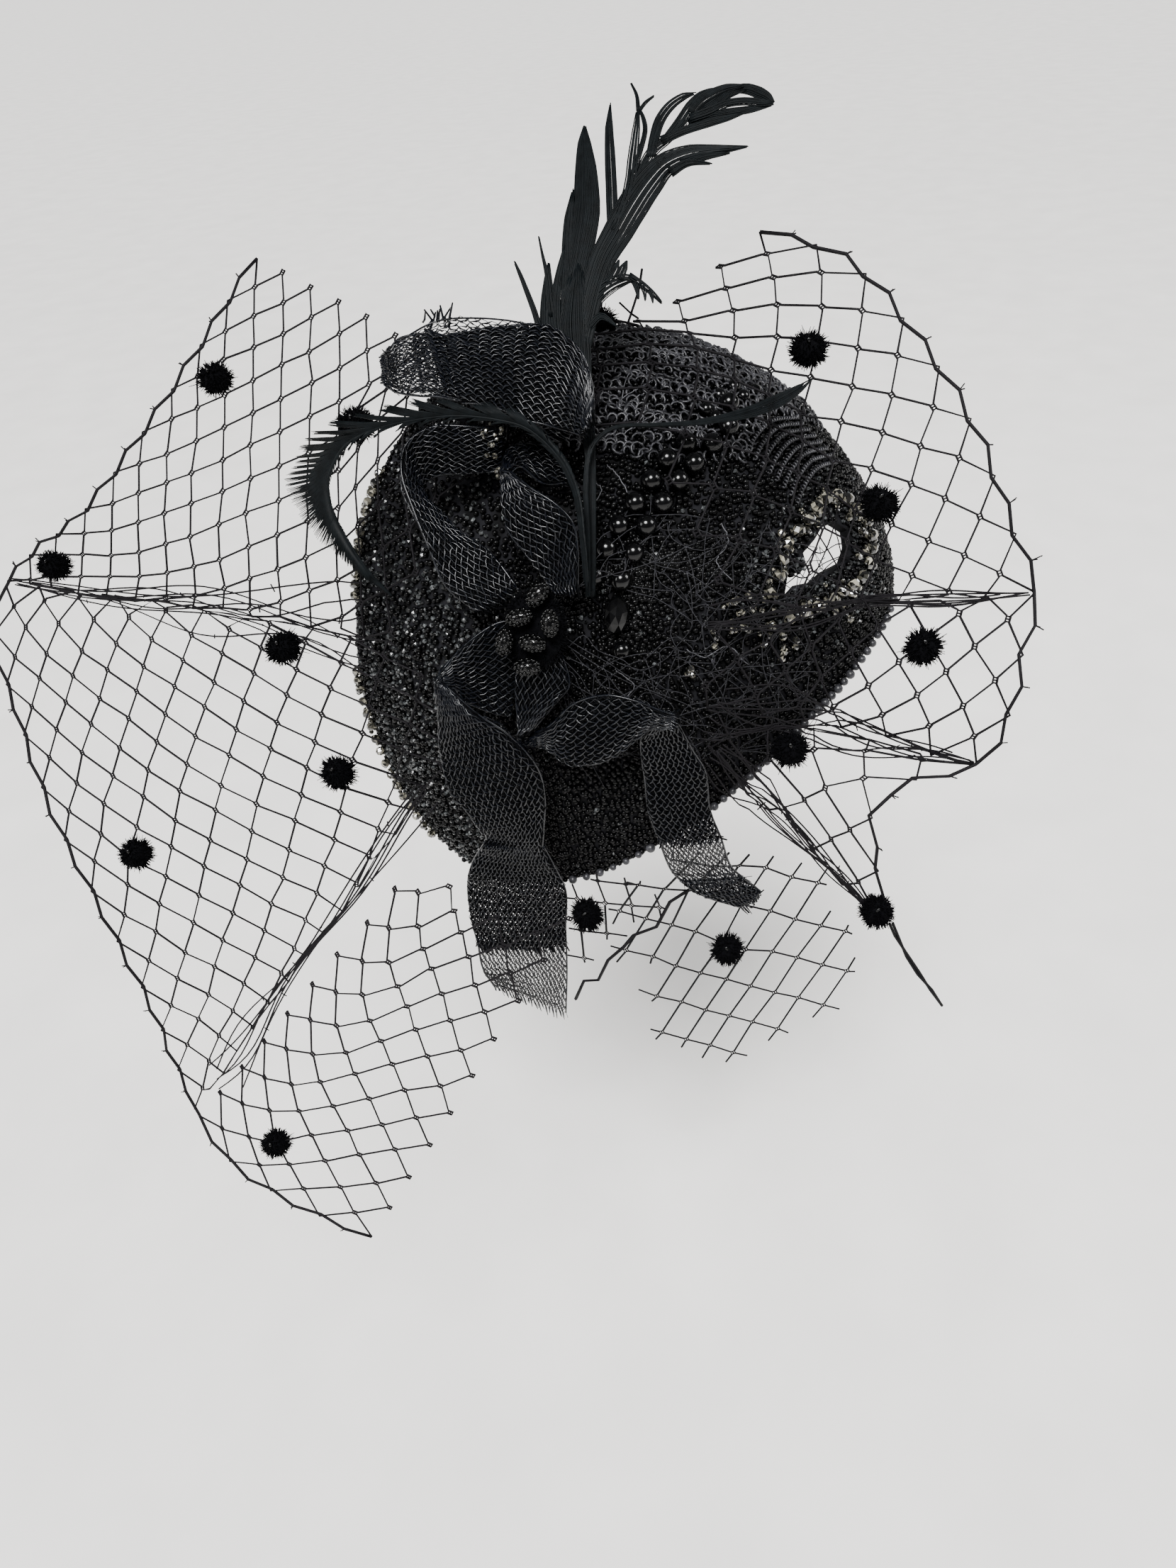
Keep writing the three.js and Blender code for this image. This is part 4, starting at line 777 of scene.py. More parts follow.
# across, up and half width, one blade each
spray = [
    [[16.2, 6, 0.6], [16.2, 14, 0.7], [15.9, 24, 0.8], [15.4, 36, 1], [14, 50, 1.6], [12, 60, 2.6], [10, 68, 4],
     [9, 76, 4.4], [9, 84, 3.2], [9.5, 92, 1]],
    [[9.5, 75, 2.6], [9, 86, 2.8], [10, 96, 3.2], [10.6, 106, 3.6], [9.7, 117, 2.8], [8.7, 124.5, 1.7],
     [8.4, 129.5, 0.2]],
    [[8, 78, 2.2], [7.6, 86, 1.9], [6.4, 94, 1.5], [6.2, 104, 1.3], [6.7, 112, 0.2]],
    [[15.5, 84, 1], [18, 98, 1.4], [17.3, 108, 1.45], [16, 120, 1.35], [15.1, 128.6, 1], [14.9, 135.5, 0.1]],
    [[18.5, 100, 1], [21.8, 110.5, 1.3], [22.4, 120, 1.2], [22.7, 127, 0.9], [22.8, 133, 0.3]],
    [[22, 113, 0.6], [24, 121, 0.55], [25, 127, 0.5], [24.2, 130.5, 0.4], [23, 133, 0.2]],
    [[22.8, 132.5, 0.35], [22, 137, 0.25], [20.2, 140.6, 0.1]],
    [[22.8, 132.5, 0.3], [24.5, 135.1, 0.3], [26.8, 137, 0.1]],
    [[11, 68, 2.4], [13.6, 84, 2.8], [16, 93, 3.2], [19.6, 100, 3.8], [23.2, 107, 4.1], [27, 113, 3.8], [31, 117.5, 3],
     [36.7, 120, 2.2], [42.3, 120.7, 1.4], [47.4, 121, 0.8], [52.4, 121.4, 0.1]],
    [[32.4, 115.2, 1.2], [36.8, 117.6, 0.9], [43.4, 117, 0.1]],
    [[35, 117.5, 1.2], [40.2, 119, 0.9], [47.7, 119.8, 0.1]],
    [[24, 114, 1], [26, 119, 1.3], [28, 122, 1.3], [31, 124.3, 1], [33.4, 127, 1], [35.8, 129.6, 0.8]],
    [[27, 119.5, 1.1], [27.7, 125, 1.2], [28.8, 129.6, 1.3], [31.2, 133.4, 1.2], [34.6, 135.9, 0.9], [38, 136.7, 0.1]],
    [[31, 124.5, 0.9], [34.3, 128.8, 1.3], [36.8, 132.8, 1.4], [39.3, 135.5, 1.2], [42.2, 137, 0.6], [44, 137.4, 0.1]],
    [[37, 131, 1.2], [39.6, 134.2, 1.6], [42.6, 136, 1.4], [45.9, 137.4, 1], [50.4, 137.9, 0.3]],
    [[40, 131.7, 0.9], [43.3, 133.6, 1.1], [46, 135.8, 1], [48.2, 136.8, 0.9], [51.6, 137.4, 0.3]],
    [[45.9, 137.4, 0.5], [51, 137.4, 1.1], [54.5, 136, 1.3], [56.8, 134.6, 1], [58.5, 132.9, 0.2]],
    [[36.7, 129.7, 0.9], [41.7, 131.3, 1], [46, 133.2, 0.8], [50.6, 133.6, 0.8], [55.2, 133, 0.8], [58.5, 132.7, 0.2]],
    [[36.2, 128.9, 0.7], [41.8, 130.2, 0.9], [47.4, 131, 0.9], [53, 131.6, 0.7], [58.5, 132.7, 0.2]],
    [[29.6, 123.8, 1], [35.2, 126.2, 0.9], [41.9, 128, 0.8], [46.9, 129.2, 0.6], [51.1, 130.4, 0.1]],
    [[11, 74, 1.5], [12.2, 78.7, 1.8], [14.8, 83, 2], [18.1, 85.9, 2], [22.1, 87.4, 1.3], [25, 87.6, 0.4]],
    [[23, 88.2, 0.9], [26.7, 85.9, 0.7], [29.7, 83.5, 0.5], [32.2, 81, 0.2]],
    [[17.5, 86.5, 0.9], [19.4, 89.8, 0.8], [20.3, 92.6, 0.1]],
    [[20.5, 87.5, 1.2], [21.6, 90.3, 1], [22.4, 92.2, 0.1]],
    [[24.4, 87, 0.6], [25.4, 84.6, 0.5], [25.9, 82, 0.1]],
    [[26.4, 86, 0.5], [27.4, 84, 0.45], [27.8, 81.5, 0.1]],
    [[28.5, 84.5, 0.45], [29.4, 82.8, 0.4], [29.8, 81, 0.1]],
    [[12.9, 75, 0.9], [16.2, 78, 0.8], [21, 75, 0.1]],
    [[1.5, 70, 0.7], [-1.1, 78.5, 0.65], [-3.8, 84.8, 0.55], [-6.2, 90, 0.4], [-7.8, 93, 0.1]],
    [[3, 78, 0.8], [2.1, 84, 0.7], [1.3, 89.2, 0.5], [-0.2, 94.4, 0.3], [-1.7, 99.8, 0.08]],
    [[5, 66, 2.6], [2.6, 75, 2.4], [1.8, 82.4, 1.8], [1.5, 88, 1], [1.4, 92.4, 0.2]],
    [[8, 66, 2.6], [5.4, 77, 2.6], [5, 85, 2], [5.3, 91.4, 1.2], [5.6, 97, 0.1]],
]


def bladePaths(centre, face, half):
    count = max(3, int(round(2 * max(half) / sprayLook["apart"])))
    steps = np.linspace(0, 1, max(9, 3 * len(centre)))
    rows = np.linspace(0, 1, len(half))
    ahead = unit(np.gradient(curveThrough(centre, steps), axis=0))
    side = unit(np.cross(ahead, curveThrough(face, steps)))
    paths = []
    for s in np.linspace(-1, 1, count):
        share = steps * (1 - draw.uniform(0, sprayLook["ragged"]))
        wide = np.maximum(np.interp(share, rows, half), 0.02)
        over = curveThrough(face, share) * (sprayLook["cup"] * (1 - s * s) * wide)[:, None]
        paths.append(curveThrough(centre, share) + side * (s * wide)[:, None] + over + draw.normal(0, 0.05, 3))
    return paths


paths = []
for rows in spray:
    row = table("across up half", rows)
    out = 8 - 0.0016 * row["up"] ** 2 + draw.uniform(-1, 1) * sprayLook["depth"] * np.clip((row["up"] - 60) / 30, 0, 1)
    paths += bladePaths(boardPoint(row["across"], row["up"], out), np.tile(flowerWay, (len(rows), 1)), row["half"])


def addBlades(name, paths, standsFor):
    addPiece(name, threadMesh(paths, sprayLook["barb"], [np.linspace(1, 0.7, len(path)) for path in paths]),
             "feather", [standsFor])


addBlades("spray_barbs", paths, "feather_spray")

# The hackles have a thin quill and separate barbs; those of the left one fan out where it curls down.
hackleLook = {"apart": 0.22, "barb": 0.19, "quill": 0.45}
hackleRows = "across up lift outer outerLean inner innerLean gather clump"
leftHackle = table(hackleRows, [
    [15.5, 8, 13, 0.7, 2, 0.7, 2, 0, 4], [14.7, 18, 17, 0.8, 2.5, 0.8, 2.5, 0, 4], [13.2, 27, 20.5, 1, 3, 1, 3, 0, 4],
    [9.7, 33.4, 24, 1.3, 4, 1.2, 4, 0.2, 4], [3, 38.6, 28, 1.8, 8, 1.4, 5, 0.6, 5],
    [-3.5, 40, 30.5, 2.5, 13, 1.6, 6, 0.9, 6], [-12, 40.2, 33.5, 3, 15, 1.8, 6, 0.95, 6.5],
    [-22, 39.2, 35.5, 3.3, 16, 2, 6, 0.95, 6.5], [-29, 38, 36.5, 3.6, 18, 2.4, 6, 0.95, 5.5],
    [-37, 36.6, 35, 5.8, 19, 2.2, 5, 0.8, 3.2], [-43.7, 34.2, 31.5, 10, 17.5, 1.5, 3, 0.5, 1.7],
    [-48, 31, 28.5, 9.4, 11.5, 1, 2, 0.35, 1.1], [-50, 27.6, 25.5, 7, 8.5, 0.8, 2, 0.3, 1],
    [-50.3, 24.4, 23, 5.2, 7.6, 0.8, 2, 0.3, 1], [-49.6, 21.4, 21, 3.8, 7, 0.8, 2, 0.4, 1],
    [-48, 17.6, 19, 2.4, 6.5, 0.8, 2, 0.2, 1], [-44.8, 12.3, 16.5, 1.2, 4.5, 0.6, 2, 0, 1],
    [-40, 6, 12.5, 0.2, 1, 0.2, 1, 0, 1]])
hackleCentre = capPoint(leftHackle["across"], leftHackle["up"], leftHackle["lift"])
fineCentre = smoothLine(hackleCentre, 400)
hackleLong = evenShares(fineCentre, 2)[1]
hackleShares, _ = evenShares(fineCentre, int(hackleLong / hackleLook["apart"]))
spine = curveThrough(hackleCentre, hackleShares)
ahead = unit(np.gradient(spine, axis=0))
across = unit(np.cross(ahead, flowerWay))
rowShares = np.linspace(0, 1, len(hackleCentre))
at = {name: np.interp(hackleShares, rowShares, column) for name, column in leftHackle.items()}
clumps = np.cumsum(hackleLong / len(spine) / at["clump"])
shift = (np.floor(clumps) + 0.5 - clumps) * at["clump"]
paths, tapers = [spine[::3]], [np.linspace(1, 0.35, len(spine[::3])) * hackleLook["quill"] / hackleLook["barb"]]
for way, wide, lean in ((1, "outer", "outerLean"), (-1, "inner", "innerLean")):
    for n in range(len(spine)):
        reach = draw.uniform(0.9, 1.06)
        along = ahead[n] * (at[lean][n] * reach + shift[n] * at["gather"][n])
        outward = across[n] * way * at[wide][n] * reach
        paths.append(np.array([spine[n], spine[n] + outward * 0.44 + along * 0.56, spine[n] + outward + along]))
        tapers.append([1.0, 1.0, 0.3])
addPiece("left_feather_barbs", threadMesh(paths, hackleLook["barb"], tapers), "feather", ["left_feather"])

rightHackle = table("across up lift half", [
    [15.5, 6, 9.5, 0.5], [15.2, 20, 12, 0.5], [14.5, 32, 15, 0.5], [15.5, 39, 16.5, 0.5], [20, 43.2, 16.5, 0.5],
    [29, 44.5, 15, 0.55], [38, 45.6, 14, 0.7], [45, 47, 14, 1.1], [52, 48.6, 15, 1.7], [58, 50.8, 17, 1.9],
    [63, 53.8, 18.5, 1.2], [67, 57, 20, 0.1]])
addBlades("right_feather_barbs",
          bladePaths(capPoint(rightHackle["across"], rightHackle["up"], rightHackle["lift"]),
                     capNormal(rightHackle["across"], rightHackle["up"]), rightHackle["half"]), "right_feather")
print("feathers")

# ---- the net: two families of threads that meet in small ladders, edged with a selvedge ----
# its thread, given by radius, is drawn coarser than the real 0.45 mm for it to show
netLook = {"thread": 0.38, "selvedge": 0.6, "ladder": 0.95, "ladderHalf": 0.6, "rungs": 3, "root": 3, "fall": 0.25,
           "lean": 0.3, "riseAt": 150, "clear": 8, "stray": 0.3, "corner": 1.2, "deep": 260, "tieWide": 6.5,
           "tieDeep": 12, "node": 0.9, "nodeKnot": 0.42, "beyondFold": 1.1, "foldScatter": (-1.0, 1.5),
           "tuft": (1.4, 2.4), "cutEnd": (2, 7)}
netEdges = {
    "net_left": [[135, 158, -4], [147, 148, 4], [159, 150, 6], [170, 165, 3], [177, 196, -5], [184, 214, -9],
        [192, 203, -3], [202, 194, 5], [213, 195, 6], [223, 212, 0], [230, 238, -6], [237, 252, -3], [244, 246, 2],
        [252, 247, 0]],
    "net_right": [[64, 124, 0], [52, 130, 3], [38, 128, 5], [24, 129, 5], [13, 131, 1], [3, 137, -6], [-4, 134, 0],
        [-12, 134, 1], [-19, 131, -6], [-25, 113, 0], [-32, 111, 2], [-43, 136, -6]],
    "net_cheek": [[-47, 134, -26], [-53, 150, -28], [-59, 158, -28], [-65, 163, -28], [-71, 164, -28], [-79, 150, -28],
        [-86, 131, -28]],
}
# Each lobe runs between two bearings of its net's edge: its inward ways at both ends, the steps along the edge and
# inward, how far in it goes, and the folds that gather its threads at either side (a cut side has none).
netLobes = {
    "net_left": [(135, 179, (0.89, -0.46), (0.82, -0.57), 8.2, 6.3, 34, None, 0),
                 (179, 233, (0.99, 0.1), (0.91, 0.41), 9.8, 8.2, 34, 0, 1),
                 (233, 252, (0.66, 0.75), (0.5, 0.87), 9.9, 9.1, 90, 1, None)],
    "net_right": [(64, 3, (-0.73, -0.68), (-0.94, -0.34), 8.3, 7.8, 40, None, 0),
                  (3, -19, (-0.99, 0.13), (-0.97, 0.25), 7.9, 6.9, 40, 0, 1),
                  (-19, -43, (-0.88, 0.47), (-0.8, 0.6), 8.6, 8.6, 44, 1, 2)],
}
# Where the net folds, its threads run together: the fold's outer and inner end as bearing and reach, its width at
# the outer end, midway and at the inner end, and the number of threads.
netFolds = {
    "net_left": [(178.5, 202, 187, 54, 1, 10, 20, 9), (232.5, 233, 235, 66, 14, 2.5, 6, 6)],
    "net_right": [(3, 136, 0, 42, 1.5, 4, 7, 7), (-19, 131, -25, 50, 1.5, 9, 15, 8),
        (-43, 136, -37, 58, 1, 4.5, 11, 9)],
}
# the cheek's loose pieces: a node, the ways to its neighbours, an outline and how many cells to look through
cheekPatches = [
    ((50.7, -106.2), (8.1, -2.65), (-6.7, -13.3), [(9, -99), (22, -76), (50, -64), (66, -65), (71, -71), (77, -77),
     (84, -82), (89, -90), (92, -104), (92, -119), (86, -132), (79, -143), (65, -146), (57, -157), (46, -156),
     (31, -150), (27, -136), (20, -125), (14, -112)], 9),
    ((13.6, -104.7), (8.6, -0.8), (0.2, -11.8), [(0, -97), (12, -81), (24, -78), (33, -90), (29, -101), (22, -105),
     (13, -115), (10, -125), (-2, -122)], 5),
]
cheekSelvedge = [(42.2, -85.5), (34.2, -91.9), (29.7, -101.6), (22.2, -105.2), (18.8, -110), (13.3, -115.8),
                 (9.5, -124.4), (4.6, -125.1), (1.1, -133.4)]
sprayBits = [[(20.2, 100.2), (19.9, 94.1), (18.4, 85.2), (17.6, 77.9), (18.2, 74.5)],
             [(14.4, 89.8), (18.4, 85.2), (20.5, 81.2)], [(11.4, 85.4), (11.8, 80.9), (11.5, 77.5)],
             [(11.8, 80.9), (17, 76.8), (20.6, 75.6)]]
netTail = [[(102, -93), (104.1, -97.9), (108.5, -104.6), (112.7, -110.9), (116.6, -117.2), (121, -123.2)],
           [(103, -93), (104.9, -97.5), (108.3, -105.4), (112.2, -111.6), (117.2, -117.3), (120.8, -123)]]
dotDrop = 4.0  # the dots sit this much closer to the net than their plain shapes, so that its threads run into them
dotMiddles = np.array([middleOf(f"dot_{k:02d}") for k in range(1, 16)]) - flowerWay * dotDrop


def netPoint(path, edge):
    across, up = np.array(path, float).T
    middle = edge["bearing"].mean()
    bearing = np.mod(np.degrees(np.arctan2(up, across)) - middle + 180, 360) - 180 + middle
    reach = np.hypot(across, up)
    order = np.argsort(edge["bearing"])
    rise = np.interp(bearing, edge["bearing"][order], edge["rise"][order])
    out = netLook["root"] - netLook["fall"] * reach - netLook["lean"] * np.maximum(up, 0)
    point = clearOfCap(boardPoint(across, up, out + rise * reach / netLook["riseAt"]), netLook["clear"])
    for dot in dotMiddles:  # the net is drawn up to the dots that are tied to it
        gap = dot - point
        high = gap @ flowerWay
        level = np.linalg.norm(gap - high[..., None] * flowerWay, axis=-1)
        pull = np.where(np.abs(high) < netLook["tieDeep"], np.exp(-((level / netLook["tieWide"]) ** 2)), 0)
        point = point + flowerWay * (high * pull)[..., None]
    return point


# One node of the net: two threads turn past each other, joined by short rungs.
def ladderAt(here, level, inward, upper, rungs):
    apart = inward * (netLook["ladderHalf"] if upper else -netLook["ladderHalf"])
    if upper:
        for n in np.linspace(-0.8, 0.8, netLook["rungs"]):
            foot = here + level * n * netLook["ladder"]
            rungs.append(np.array([foot - inward * netLook["ladderHalf"], foot + inward * netLook["ladderHalf"]]))
    return [here + apart - level * netLook["ladder"], here + apart + level * netLook["ladder"]]


# A fold's outer end, the way in along it, the way across it (against the clock) and its length.
def foldLine(outerBearing, outerReach, innerBearing, innerReach, *widths):
    outer, inner = flatPlace(outerBearing, outerReach), flatPlace(innerBearing, innerReach)
    ray = unit(inner - outer)
    return outer, ray, np.array([ray[1], -ray[0]]), np.linalg.norm(inner - outer)


def lobePaths(edge, first, last, inwardFirst, inwardLast, along, inStep, inner, foldFirst, foldLast, folds):
    turning = np.sign(last - first)
    inLobe = (edge["bearing"] * turning >= first * turning) & (edge["bearing"] * turning <= last * turning)
    bearing = np.radians(edge["bearing"])
    rim = (edge["reach"] * np.array([np.cos(bearing), np.sin(bearing)])).T[inLobe]
    columns = 2 * max(2, int(round(evenShares(rim, 2)[1] / along / 2)))
    shares, _ = evenShares(rim, columns + 1)
    feet = np.array([np.interp(shares, np.linspace(0, 1, len(rim)), line) for line in rim.T]).T
    turn = np.linspace(0, 1, columns + 1)[:, None]
    ways = unit(np.array(inwardFirst) * (1 - turn) + np.array(inwardLast) * turn)
    rows = int(netLook["deep"] / inStep)
    nodes, sound, plain = {}, {}, {}
    for i in range(columns + 1):
        for j in range(rows + 1):
            spot = feet[i] + ways[i] * (0 if j == 0 else j * inStep)
            spot = spot + (draw.normal(0, netLook["stray"], 2) if j else 0)
            good, tidy = np.hypot(*spot) > inner and spot @ ways[i] < -0.2 * inner, True
            for fold, way in ((foldFirst, turning), (foldLast, -turning)):
                if fold is None:
                    continue
                foot, ray, normal, _ = foldLine(*folds[fold])
                beyond = -((spot - foot) @ normal) * way
                if beyond > 0:
                    good = good and beyond < netLook["beyondFold"] * along
                    spot = foot + ray * ((spot - foot) @ ray) + normal * draw.uniform(*netLook["foldScatter"]) * way
                    tidy = False
            nodes[i, j], sound[i, j], plain[i, j] = spot, good, tidy
    strands, rungs = [], []
    for k in range(rows):
        path = []
        for i in range(columns + 1):
            j = k + ((i + k) % 2)
            here = nodes[i, j]
            if not sound[i, j]:
                strands.append(path)
                path = []
            elif plain[i, j] and j > 0:
                level = unit(nodes[min(i + 1, columns), j] - nodes[max(i - 1, 0), j])
                path += ladderAt(here, level, ways[i], j == k, rungs)
            else:
                path.append(here)
        strands.append(path)
    strands = [np.array(path) for path in strands if len(path) > 1]
    corners = np.where(np.arange(columns + 1) % 2 == 0, 1, -1)[:, None] * netLook["corner"] * ways
    corners[0] = corners[-1] = 0
    tufts = [np.array([foot, foot - way * draw.uniform(*netLook["tuft"]) + draw.normal(0, 0.5, 2)])
             for foot, way in zip((feet + corners)[1::2], ways[1::2]) for _ in range(2)]
    return strands, rungs, feet + corners, tufts


# The threads of a fold sway across each other within its width.
def foldPaths(*fold):
    foot, ray, normal, long = foldLine(*fold)
    steps = np.linspace(0, 1, 26)
    wide = np.interp(steps, [0, 0.5, 1], fold[4:7])[:, None]
    paths = []
    for k in range(fold[7]):
        sway = np.sin(2 * math.pi * (draw.uniform(0.8, 1.9) * steps + draw.uniform()))[:, None]
        spread = (k / (fold[7] - 1) - 0.5) * wide + sway * (0.4 + 0.24 * wide)
        start = draw.uniform(0, 0.1)
        paths.append(foot + ray * (long * (start + (1 - start) * steps))[:, None] + normal * spread)
    knots = [path[n] + np.outer([-1, 1], draw.normal(0, 0.6, 2)) for path in paths for n in draw.integers(4, 24, 2)]
    return paths, knots


# A loose cut piece of the same net over the cheek: its nodes lie on a slanting lattice inside an outline.
def patchPaths(origin, firstWay, secondWay, outline, count):
    origin, firstWay, secondWay = (np.array(v, float) for v in (origin, firstWay, secondWay))
    ring = np.array(outline, float)
    spots, inside = {}, {}
    for i in range(-count, count + 1):
        for j in range(-count, count + 1):
            spot = origin + i * firstWay + j * secondWay
            spots[i, j] = spot + draw.normal(0, netLook["stray"], 2)
            inside[i, j] = insideRing(spot[0], spot[1], ring)
    strands, rungs = [], []
    one, two = unit(firstWay), unit(secondWay)
    for (i, j), spot in spots.items():
        if not inside[i, j]:
            continue
        corner = netLook["node"]
        for step, way in (((1, 0), one), ((0, 1), two), ((-1, 0), -one), ((0, -1), -two)):
            other = (i + step[0], j + step[1])
            start = spot + way * corner
            if not inside.get(other):
                end = spot + way * draw.uniform(*netLook["cutEnd"]) + draw.normal(0, 0.3, 2)
                strands.append(np.array([start, end]))
            elif min(step) == 0:
                strands.append(np.array([start, spots[other] - way * corner]))
        rungs.append(spot + corner * np.array([one, two, -one, -two, one]))
        rungs.append(spot + netLook["nodeKnot"] * np.outer([1, -1], one + two))
    return strands, rungs


selvedgeShare = netLook["selvedge"] / netLook["thread"]
# more threads of a net, with their share of its thickness
netExtras = {"net_cheek": [([cheekSelvedge], selvedgeShare)], "net_right": [(netTail, 1.2), (sprayBits, 1.0)]}
for name, rows in netEdges.items():
    edge = dict(zip(("bearing", "reach", "rise"), curveThrough(rows, np.linspace(0, 1, 400), even=True).T))
    groups, rimLine = [], []
    for lobe in netLobes.get(name, []):
        strands, rungs, rim, tufts = lobePaths(edge, *lobe, netFolds[name])
        groups += [(strands, 1.0), (rungs, 0.7), (tufts, 0.6)]
        rimLine.append(rim)
    for fold in netFolds.get(name, []):
        strands, knots = foldPaths(*fold)
        groups += [(strands, 0.75), (knots, 0.6)]
    for patch in cheekPatches if name == "net_cheek" else []:
        strands, rungs = patchPaths(*patch)
        groups += [(strands, 1.0), (rungs, 0.7)]
    if rimLine:
        groups.append(([np.vstack(rimLine)], selvedgeShare))
    groups += netExtras.get(name, [])
    paths = [netPoint(path, edge) for group, _ in groups for path in group]
    tapers = [np.full(len(path), size) for group, size in groups for path in group]
    addPiece(f"thread_{name}", threadMesh(paths, netLook["thread"], tapers), "netThread", [name])
print("net")

# ---- small trims on the cap ----
# How far a point of the head lies inside the cap's rim.
def roomToRim(points):
    way = unit((points - headMiddle) / halfFor(points - headMiddle))
    bearing = np.degrees(np.arctan2(way @ capTop, way @ capSide))
    return capSpanAt(bearing) - np.degrees(np.arccos(way @ capPole))


# corded loops in rows over the cap's top front, half sunk among the beads
loopLook = {"cord": 0.36, "ring": (1.0, 2.0), "apart": 2.3, "rowApart": 2.25, "rows": 29, "firstUp": 46,
            "sway": 1.6, "swayLong": 7, "droop": 0.0012, "inside": 1.5, "lift": (1.5, 2.3), "tilt": 0.9, "arch": 0.7}
loops, loopAngles = [], np.radians(np.linspace(-20, 200, 7))
for row in range(loopLook["rows"]):
    across = np.arange(3, 90, 0.5)
    sway = loopLook["sway"] * np.sin(across / loopLook["swayLong"] + row)
    up = loopLook["firstUp"] + loopLook["rowApart"] * row + sway - loopLook["droop"] * across**2
    line = capPoint(across, up, 0)
    leftOfCut = across < np.where(up < 64, 56 + 0.5 * (up - 46), 90)
    line = line[leftOfCut & (roomToRim(line) > loopLook["inside"])]
    if len(line) < 12:
        continue
    shares, _ = evenShares(line, max(2, int(evenShares(line, 2)[1] / loopLook["apart"])))
    for middle in curveThrough(line, shares):
        away = unit(middle - headMiddle)
        middle = middle + away * draw.uniform(*loopLook["lift"])
        over = upWay + draw.normal(0, loopLook["tilt"], 3)
        side = unit(np.cross(over, away))
        over = np.cross(away, side)
        ring = draw.uniform(*loopLook["ring"])
        loops.append(middle + ring * (np.cos(loopAngles)[:, None] * side + np.sin(loopAngles)[:, None] * over)
                     + away * (loopLook["arch"] * np.sin(loopAngles))[:, None])
addPiece("cord_loops", threadMesh(loops, loopLook["cord"]), "cord")

# ropes side by side at the upper front edge: each is one cord wound round its line
ropeLook = {"cord": 0.28, "wound": 0.45, "pitch": 1.3, "lift": 2.0}
firstRope = np.array([(77, 64), (65.6, 58.5), (59.4, 51.5), (56.5, 46)])
ropeRows = [firstRope + np.array([1.9, -2.1]) * k for k in range(8)]
ropes = []
for rows in ropeRows:
    points = onCap(rows, ropeLook["lift"])
    shares, long = evenShares(smoothLine(points, 200), 200)
    line = curveThrough(points, shares)
    turnAt = np.linspace(0, 2 * math.pi * long / ropeLook["pitch"], 200)[:, None]
    away = unit(line - headMiddle)
    side = unit(np.cross(np.gradient(line, axis=0), away))
    ropes.append(line + ropeLook["wound"] * (np.cos(turnAt) * side + np.sin(turnAt) * away))
addPiece("wound_ropes", threadMesh(ropes, ropeLook["cord"]), "cord")

# covered beads stand along the cap's front edge and over its top, and a few glossy ones among the loops
bumpLook = {"radius": (1.1, 1.6), "apart": 3.1, "inside": 1.2, "lift": 1.6, "topRadius": 2.4, "topLift": 0.7,
            "glossyRadius": 2.2, "ringRadius": 70}
bumpBearings = np.arange(250, 352, math.degrees(bumpLook["apart"] / bumpLook["ringRadius"]))
topSpots = [(8, 104), (14, 104), (20, 104), (26, 104), (32, 104), (38.5, 104), (45, 103.5), (51.5, 103), (58, 102),
            (64.5, 100), (71, 97), (77, 93), (82, 88), (86, 82)]
bumps = np.vstack([capSpot(capSpanAt(bumpBearings) - bumpLook["inside"], bumpBearings, bumpLook["lift"]),
                   onCap(topSpots, bumpLook["topLift"])])
bumpSizes = np.append(draw.uniform(*bumpLook["radius"], len(bumpBearings)), [bumpLook["topRadius"]] * len(topSpots))
addPiece("covered_beads", repeated(sphere(2), bumps, randomTurns(len(bumps)), bumpSizes, np.full(len(bumps), 0.8)),
         "cord")
glossySpots = [(45.5, 60.1), (52.3, 61.6), (48.1, 57.3), (58.1, 67.9), (63, 72.4), (55.5, 72), (50, 66.5)]
count = len(glossySpots)
addPiece("glossy_beads", repeated(sphere(3), onCap(glossySpots, bumpLook["lift"]), randomTurns(count),
                                  [bumpLook["glossyRadius"]] * count, np.zeros(count)), "jet")

# fine threads: loose ends on the beads, and a few drawn across the cut-out
threadLook = {"loose": 0.15, "looseLift": 2.4, "looseStray": 0.12, "crossing": 0.2,
              "crossingLifts": (2.2, 0.4, 0.6, 2.2)}
looseRows = [
    [(26, 64), (24, 60), (27, 56), (25, 53), (22, 50)], [(25, 52), (28, 55), (32, 57), (34, 54)], [(18, 41), (21, 38),
    (24, 33)], [(48, 25), (50, 20), (47, 15), (51, 10)], [(40, -8), (45, -10), (50, -7), (56, -12)], [(22, -14),
    (27, -18), (25, -22), (31, -25)], [(14, 37), (17, 34), (15, 30)], [(20.5, 58), (21, 62), (21.5, 67), (23, 75),
    (24.2, 80), (26, 78.5), (27.5, 74), (29, 70.5)], [(21, 62.4), (25.4, 66), (29.7, 69.4)]]
loose = [smoothLine(onCap(rows, threadLook["looseLift"]), 24) + draw.normal(0, threadLook["looseStray"], (24, 3))
         for rows in looseRows]
addPiece("loose_threads", threadMesh(loose, threadLook["loose"]), "looseThread")
crossRows = [
    [(70, 20), (77, 18), (84, 21), (91, 20)], [(74, 25), (80, 19), (83, 14), (84, 9)], [(66, 12), (72, 11), (78, 15),
    (86, 18)], [(80, 31), (84, 23), (86, 14), (90, 9)], [(64, 8), (71, 13), (76, 20), (80, 29)], [(84, 32), (82, 24),
    (78, 17), (71, 7)], [(72, 5), (78, 13), (85, 17), (92, 16)]]
crossing = [smoothLine(onCap(rows, threadLook["crossingLifts"]), 24) for rows in crossRows]
addPiece("cut_out_threads", threadMesh(crossing, threadLook["crossing"]), "netThread")

